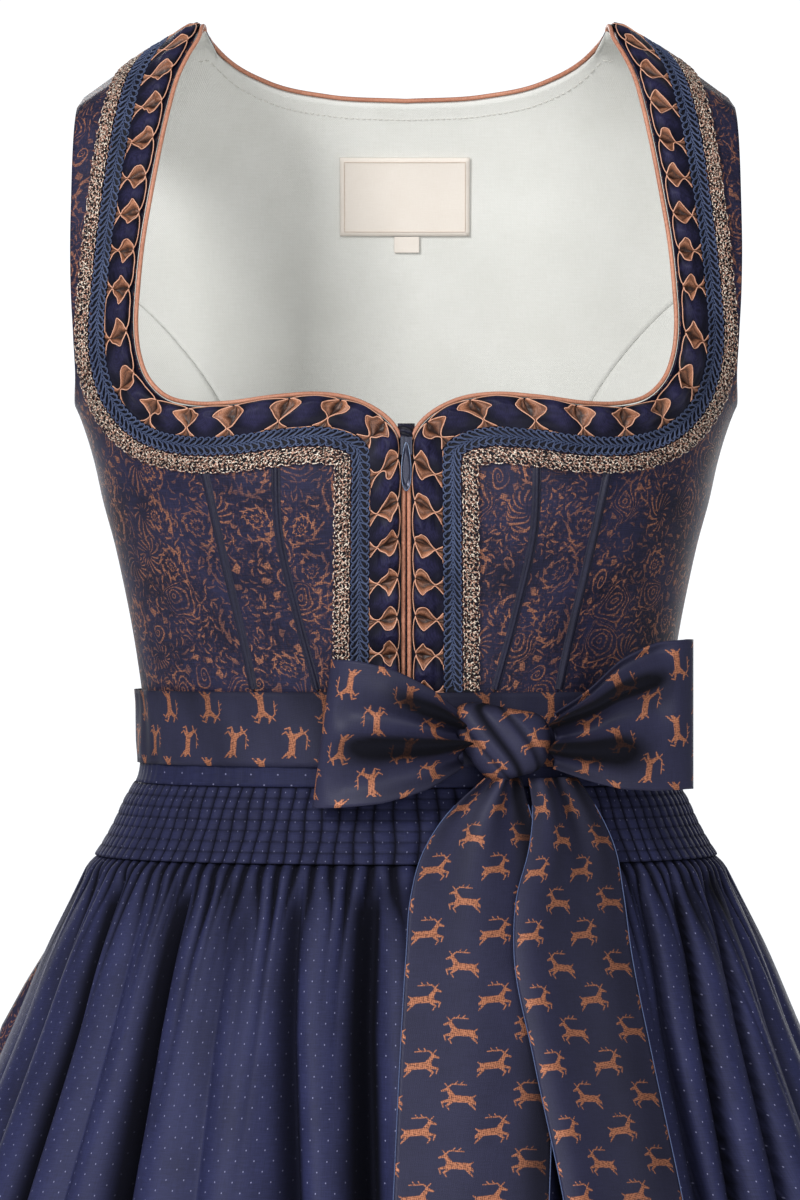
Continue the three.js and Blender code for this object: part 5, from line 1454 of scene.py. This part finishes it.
def skirt():
    """Skirt ring: a smoother front inside the apron, and rounded folds behind."""
    degrees, z = np.meshgrid(
        np.linspace(-SKIRT_COVERED_ANGLE, 360 - SKIRT_COVERED_ANGLE, 480, endpoint=False),
        np.concatenate([np.linspace(WAIST_Z - SEAM_GAP, -440, 22), np.linspace(-454, SKIRT_HEM_Z, 26)]),
    )
    depth = smooth_curve(FOLD_DEPTHS, z)
    phase = (degrees - SKIRT_COVERED_ANGLE) / (360 - 2 * SKIRT_COVERED_ANGLE) * BACK_FOLDS
    wander = 0.1 * np.sin(phase * 2.4 + 1) + 0.05 * np.sin(z / 90)
    behind = 0.94 * np.abs(np.sin(np.pi * (phase + wander * np.sin(np.pi * phase)))) ** 0.85
    under = smooth_step(-z, -BAND_BOTTOM_Z - 20, 5 - BAND_BOTTOM_Z)
    covered = smooth_step(SKIRT_COVERED_ANGLE - np.abs(degrees), 0, 10)
    front_phase = (degrees + SKIRT_COVERED_ANGLE) / (2 * SKIRT_COVERED_ANGLE) * 20
    fold = 0.25 * (0.5 - 0.5 * np.cos(np.pi * front_phase))
    outside = degrees > SKIRT_COVERED_ANGLE
    inward = np.where(outside, behind * depth, covered * (depth * (1.8 + fold) + 4 * under))
    around = np.where(degrees > 180, degrees - 360, degrees)
    bulge = 12 * groove(around, -100, 6) * groove(z, -500, 40)
    grid = ring_point(degrees, z, BODICE_OUT - inward + bulge)
    # Painted shade in the deepest valleys of the folds behind, from below the waist down.
    dark = np.where(outside, 0.8 * np.clip(behind / 0.94, 0, 1) ** 6, 0) * smooth_step(-z, 380, 450)
    cloth_piece("skirt", grid, [BROCADE, LINING], CLOTH_WALL, "gathered", (1.1, 1.02),
                uv=flat_places(grid, across=degrees * SKIRT_MM_A_DEGREE), depth=dark, ring=True)


def waist_bands():
    """The apron's waistband with fine puckers, and the rippled tie band all round over it."""
    degrees, z = np.meshgrid(np.linspace(-APRON_HALF_ANGLE, APRON_HALF_ANGLE, 241),
                             np.linspace(BAND_TOP_Z, BAND_BOTTOM_Z, 26))
    pucker = 0.35 * np.sin(degrees * 1.9 + 0.6 * np.sin(z / 5)) * smooth_step(-z, 329, 340)
    grid = ring_point(degrees, z, BAND_OUT + pucker * 0.5)
    # The waistband gets an even painted shade all over.
    cloth_piece("apron_waistband", grid, [APRON], 0.8, "stretched",
                uv=flat_places(grid), depth=0.34 + 0 * z)
    degrees, z = np.meshgrid(np.linspace(-180, 180, 320, endpoint=False),
                             np.linspace(TIE_TOP_Z, TIE_BOTTOM_Z, 15))
    ripple = 0.4 * np.sin(degrees * 0.31 + z * 0.12) + 0.25 * np.sin(degrees * 0.83 + 2)
    grid = ring_point(degrees, z, TIE_OUT + ripple)
    along_band = flat_places(grid, across=degrees * 2.2)[..., ::-1]
    # Painted shade: darker along the tie band's top edge and in slanting bands, with a little all over.
    top_painted_shade = 0.12 + 0.3 * np.exp((z - TIE_TOP_Z) / 6)
    shade = top_painted_shade + 0.25 * np.clip(np.sin(degrees * 0.21 + z * 0.06), 0, 1)
    cloth_piece("tie_band", grid, [RIBBON], RIBBON_WALL, "stretched",
                uv=along_band, depth=shade, ring=True)


# Bow

def bow_loop(side, table, shape):
    """A ribbon loop: rows along the ribbon from the knot out and back, each a line across it,
    with pleats that gather towards the knot."""
    count = 90
    line = through_points(table[:, :3], count)
    half = through_points(table[:, 3:], count)[:, 0]
    v = np.linspace(-1, 1, 49)
    share = np.linspace(0, 1, count)
    grid = line[None] + np.zeros((49, 1, 3))
    grid[..., 2] += v[:, None] * half
    near = 1 - smooth_step(np.minimum(share, 1 - share), 0.0, 0.34)
    along = unit(np.gradient(line[:, :2], axis=0))
    turn = -1 if side == "left" else 1
    outward = np.stack([along[:, 1], -along[:, 0]], axis=1) * -turn
    relief = shape(share[None], v[:, None], near[None])
    grid[..., :2] += outward[None] * relief[..., None]
    if side == "left":
        away = np.clip((line[:, 0] - line[0, 0]) / (line[:, 0].min() - line[0, 0]), 0, 1)
        grid[..., 0] += 4.6 * away * (1 + v[:, None])
    flat = np.stack([np.broadcast_to(v[:, None] * 36, relief.shape),
                     np.broadcast_to(lengths(line), relief.shape)], axis=-1)
    # Painted shade where the ribbon sinks into creases, in the pleats by the knot and near the knot on
    # the loop's upper half.
    dark = np.clip(-relief / 5 - 0.1, 0, 1) + 0.6 * near * (0.5 - 0.5 * np.sin(v * 9)[:, None])
    dark = dark + 0.25 * groove(share, 0.1, 0.16)[None] * smooth_step(v, 0, 0.7)[:, None]
    cloth_piece(f"bow_loop_{side}", grid, [RIBBON], RIBBON_WALL, "folded", (1, 1.1),
                uv=flat, depth=np.minimum(dark, 1), flip=turn > 0)


def left_shape(share, v, near):
    """Pleats at the knot, a long deep crease below the middle and a shorter one above."""
    front = smooth_step(0.42 - share, 0, 0.1)
    wide = np.where(v > -0.05 - 0.3 * share, 0.6, 1.25) * (0.12 + 0.4 * share)
    crease = -9.0 * groove(v, -0.05 - 0.3 * share, wide) * smooth_step(0.42 - share, 0, 0.2)
    upper = -5.5 * groove(v, 0.48 + 0.6 * share, 0.2) * smooth_step(0.3 - share, 0, 0.2)
    swell = 3.5 * groove(v, 0.3, 0.2) * front + 3.0 * groove(v, -0.7, 0.2) * front
    return 1.8 * np.sin(v * 9) * near + crease + upper + swell


def right_shape(share, v, near):
    """A rolled upper edge over a dark gap, and a hollow below the middle."""
    front = smooth_step(0.42 - share, 0, 0.1)
    gap = -9.0 * groove(v, 0.6 - 0.3 * share, 0.12 + 0.12 * share) * smooth_step(0.4 - share, 0, 0.14)
    hollow = -9.0 * groove(v, -0.3 - 0.5 * share, 0.22 + 0.3 * share) * smooth_step(0.34 - share, 0, 0.16)
    swell = 4.0 * groove(v, 0.12, 0.28) * front + 4.0 * groove(v, 0.88, 0.12) * front
    return 1.5 * np.sin(v * 8 + 1) * near + gap + hollow + swell


def knot():
    """A wrapped band: a rounded block, wider at the top, with slanting folds as soft grooves."""
    tilt = np.radians(np.linspace(-86, 86, 56))
    turn = np.linspace(0, FULL_TURN, 104, endpoint=False)
    tilt, turn = np.meshgrid(tilt, turn, indexing="ij")
    up = np.sin(tilt)
    slant = np.cos(turn) + 0.45 * up
    fold = 0.09 * groove(slant, -0.12, 0.13) + 0.06 * groove(slant, 0.55, 0.1)
    fold = fold + 0.05 * groove(slant, -0.7, 0.08)
    round_x, round_y = np.cos(tilt) ** 0.4, np.cos(tilt) ** 0.5
    grid = np.stack([
        KNOT["x"] - 4 * up + KNOT["half_x"] * (0.95 + 0.22 * up) * round_x * np.cos(turn) * (1 - fold),
        KNOT["y"] + KNOT["half_y"] * round_y * np.sin(turn) * (1.04 - 1.9 * fold),
        KNOT["z"] + KNOT["half_z"] * up * (1 - 0.12 * np.cos(turn)),
    ], axis=-1)
    uv = np.stack([grid[..., 0] + 9 - 0.5 * grid[..., 2], grid[..., 2]], axis=-1)
    # Painted shade in the grooves, and at the top, bottom and sides where the wrap turns away.
    dark = np.clip(fold * 11, 0, 1) + 0.5 * np.abs(up) ** 8 + 0.4 * np.abs(np.cos(turn)) ** 8
    make_piece("bow_knot_cloth", [sheet_part(grid, uv=uv, ring=True, flip=True)], [RIBBON],
               ["bow_knot"], depth=np.minimum(dark, 1))


def bow_tail(side, table, folds):
    """A hanging ribbon end: rows between its two edges, on the apron, with long soft folds."""
    z = np.linspace(table[0, 0], table[-1, 0], 110)[:, None]
    u = np.linspace(0, 1, 41)
    x = mix(smooth_curve(table, z, 1), smooth_curve(table, z, 2), u)
    lift = smooth_curve(table, z, 3) + folds(u, z) + TAIL_LIFT
    level = z + 0 * x
    y = body_y(x, level, FRONT)
    grid = np.stack([x, y, level], axis=-1) + level_normal(x, y, level, FRONT) * lift[..., None]
    uv = flat_places(grid, across=(u - 0.5)[None] * 68)
    top = np.exp((z + 369) / 30)
    # Painted shade: the left tail darkens towards its right edge, the right tail in a trough and over its
    # right part, and both in the gathers under the knot.
    if side == "left":
        dark = 0.85 * smooth_step(u, 0.7, 0.95) * (1 - 0.5 * smooth_step(-z, 520, 760))
    else:
        dark = 0.4 * groove(u, 0.42, 0.16) * (1 - smooth_step(-z, 480, 700))
        dark = dark + 0.5 * smooth_step(u, 0.42, 0.75)
    dark = np.minimum(dark + 0.6 * top * (0.5 + 0.5 * np.sin(u * 24)), 1) + 0 * z
    cloth_piece(f"tail_{side}", grid, [RIBBON], RIBBON_WALL, "hung", uv=uv, depth=dark)
    edges = grid[3:, [0, -1]].swapaxes(0, 1)
    selvedges = cord_part(edges, np.array([0, -1.0, 0]), 0.3, 6)
    make_piece(f"tail_{side}_edges", [selvedges], [SELVEDGE])


def left_folds(u, z):
    """High on the left and sinking towards the right end, with gathers at the knot."""
    top = np.exp((z + 369) / 45)
    return 4.5 * (1 - smooth_step(u, 0.4, 0.95)) + top * 2.5 * (1 + np.cos(u * 12)) - 1.5


def right_folds(u, z):
    """A crest by the left edge, a broad trough through the middle and a lower crest."""
    top = np.exp((z + 369) / 45)
    low = smooth_step(-z, 400, 520)
    crest = 4.5 * groove(u, 0.12, 0.16) + 2.5 * groove(u, 0.78, 0.16) * low
    return crest + top * 2.5 * (1 + np.cos(u * 12 + 2))


# Stage, lights and camera: places in metres, lamps with their target, size and watts

EYE, LENS, SENSOR_HEIGHT = (-0.003, -2.6, -0.2835), 156, 36
LAMPS = (
    ("key", (-1.8, -2.9, 1.3), (0, 0, -0.45), (0.9, 1.2), 98),
    ("fill", (0.7, -3.3, -0.1), (0, 0, -0.3), (1.4, 1.4), 34),
    ("back_left", (-1.3, 3.1, 0.5), (0, 0, -0.5), (1.4, 1.8), 34),
    ("back_right", (1.6, 2.9, 0.3), (0, 0, -0.5), (1.4, 1.8), 20),
)


def stage():
    """A pale round floor below the hem."""
    turn = np.linspace(0, FULL_TURN, 96, endpoint=False)
    radius = np.array([1.0, 1200.0, FLOOR_RADIUS])[:, None]
    grid = np.stack([radius * np.cos(turn), radius * np.sin(turn), FLOOR_Z + 0 * radius * turn], axis=-1)
    points, faces, _, _ = sheet_part(grid, ring=True)
    mesh = bpy.data.meshes.new("floor")
    mesh.from_pydata((points * MM).tolist(), [], faces.tolist())
    look = bpy.data.materials.new("floor")
    look.use_nodes = True
    shader = look.node_tree.nodes["Principled BSDF"]
    shader.inputs["Base Color"].default_value = (0.86, 0.86, 0.86, 1)
    shader.inputs["Roughness"].default_value = 0.9
    mesh.materials.append(look)
    floor = bpy.data.objects.new("floor", mesh)
    bpy.context.collection.objects.link(floor)
    floor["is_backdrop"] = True


def lamp(name, place, target, size, watts):
    """A rectangular soft light that faces its target."""
    light = bpy.data.lights.new(name, "AREA")
    light.shape = "RECTANGLE"
    light.size, light.size_y = size
    light.energy = watts
    lamp_object = bpy.data.objects.new(name, light)
    bpy.context.collection.objects.link(lamp_object)
    direction = Vector(target) - Vector(place)
    lamp_object.location = place
    lamp_object.rotation_euler = direction.to_track_quat("-Z", "Y").to_euler()


def lights_and_camera():
    """Soft studio lamps, a pale world and the level camera."""
    for settings in LAMPS:
        lamp(*settings)
    world = bpy.data.worlds.new("studio")
    world.use_nodes = True
    sky = world.node_tree.nodes["Background"]
    sky.inputs["Color"].default_value = (0.95, 0.97, 1.0, 1)
    seen = add_node(world.node_tree, "ShaderNodeLightPath", "Is Camera Ray")
    feed(world.node_tree, sky.inputs["Strength"], seen * 0.84 + 0.28)
    bpy.context.scene.world = world
    bpy.context.scene.view_settings.view_transform = "Standard"
    camera = bpy.data.cameras.new("camera")
    camera.sensor_fit = "VERTICAL"
    camera.sensor_height, camera.lens = SENSOR_HEIGHT, LENS
    eye = bpy.data.objects.new("camera", camera)
    eye.location = EYE
    eye.rotation_euler = (np.pi / 2, 0, 0)
    bpy.context.collection.objects.link(eye)
    bpy.context.scene.camera = eye


lights_and_camera()
stage()
bodice()
under_stitches()
labels()
for side, sign in SIDES:
    frog_trim(side, sign)
    gimp_trim(side, sign)
    lace_trim(side, sign)
pipings()
zip_parts()
apron()
smocking()
skirt()
waist_bands()
bow_loop("left", LOOP_LEFT, left_shape)
bow_loop("right", LOOP_RIGHT, right_shape)
knot()
bow_tail("left", TAIL_LEFT, left_folds)
bow_tail("right", TAIL_RIGHT, right_folds)

plain = [[[float(value) for value in corner] for corner in box] for box in (cad_box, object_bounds())]
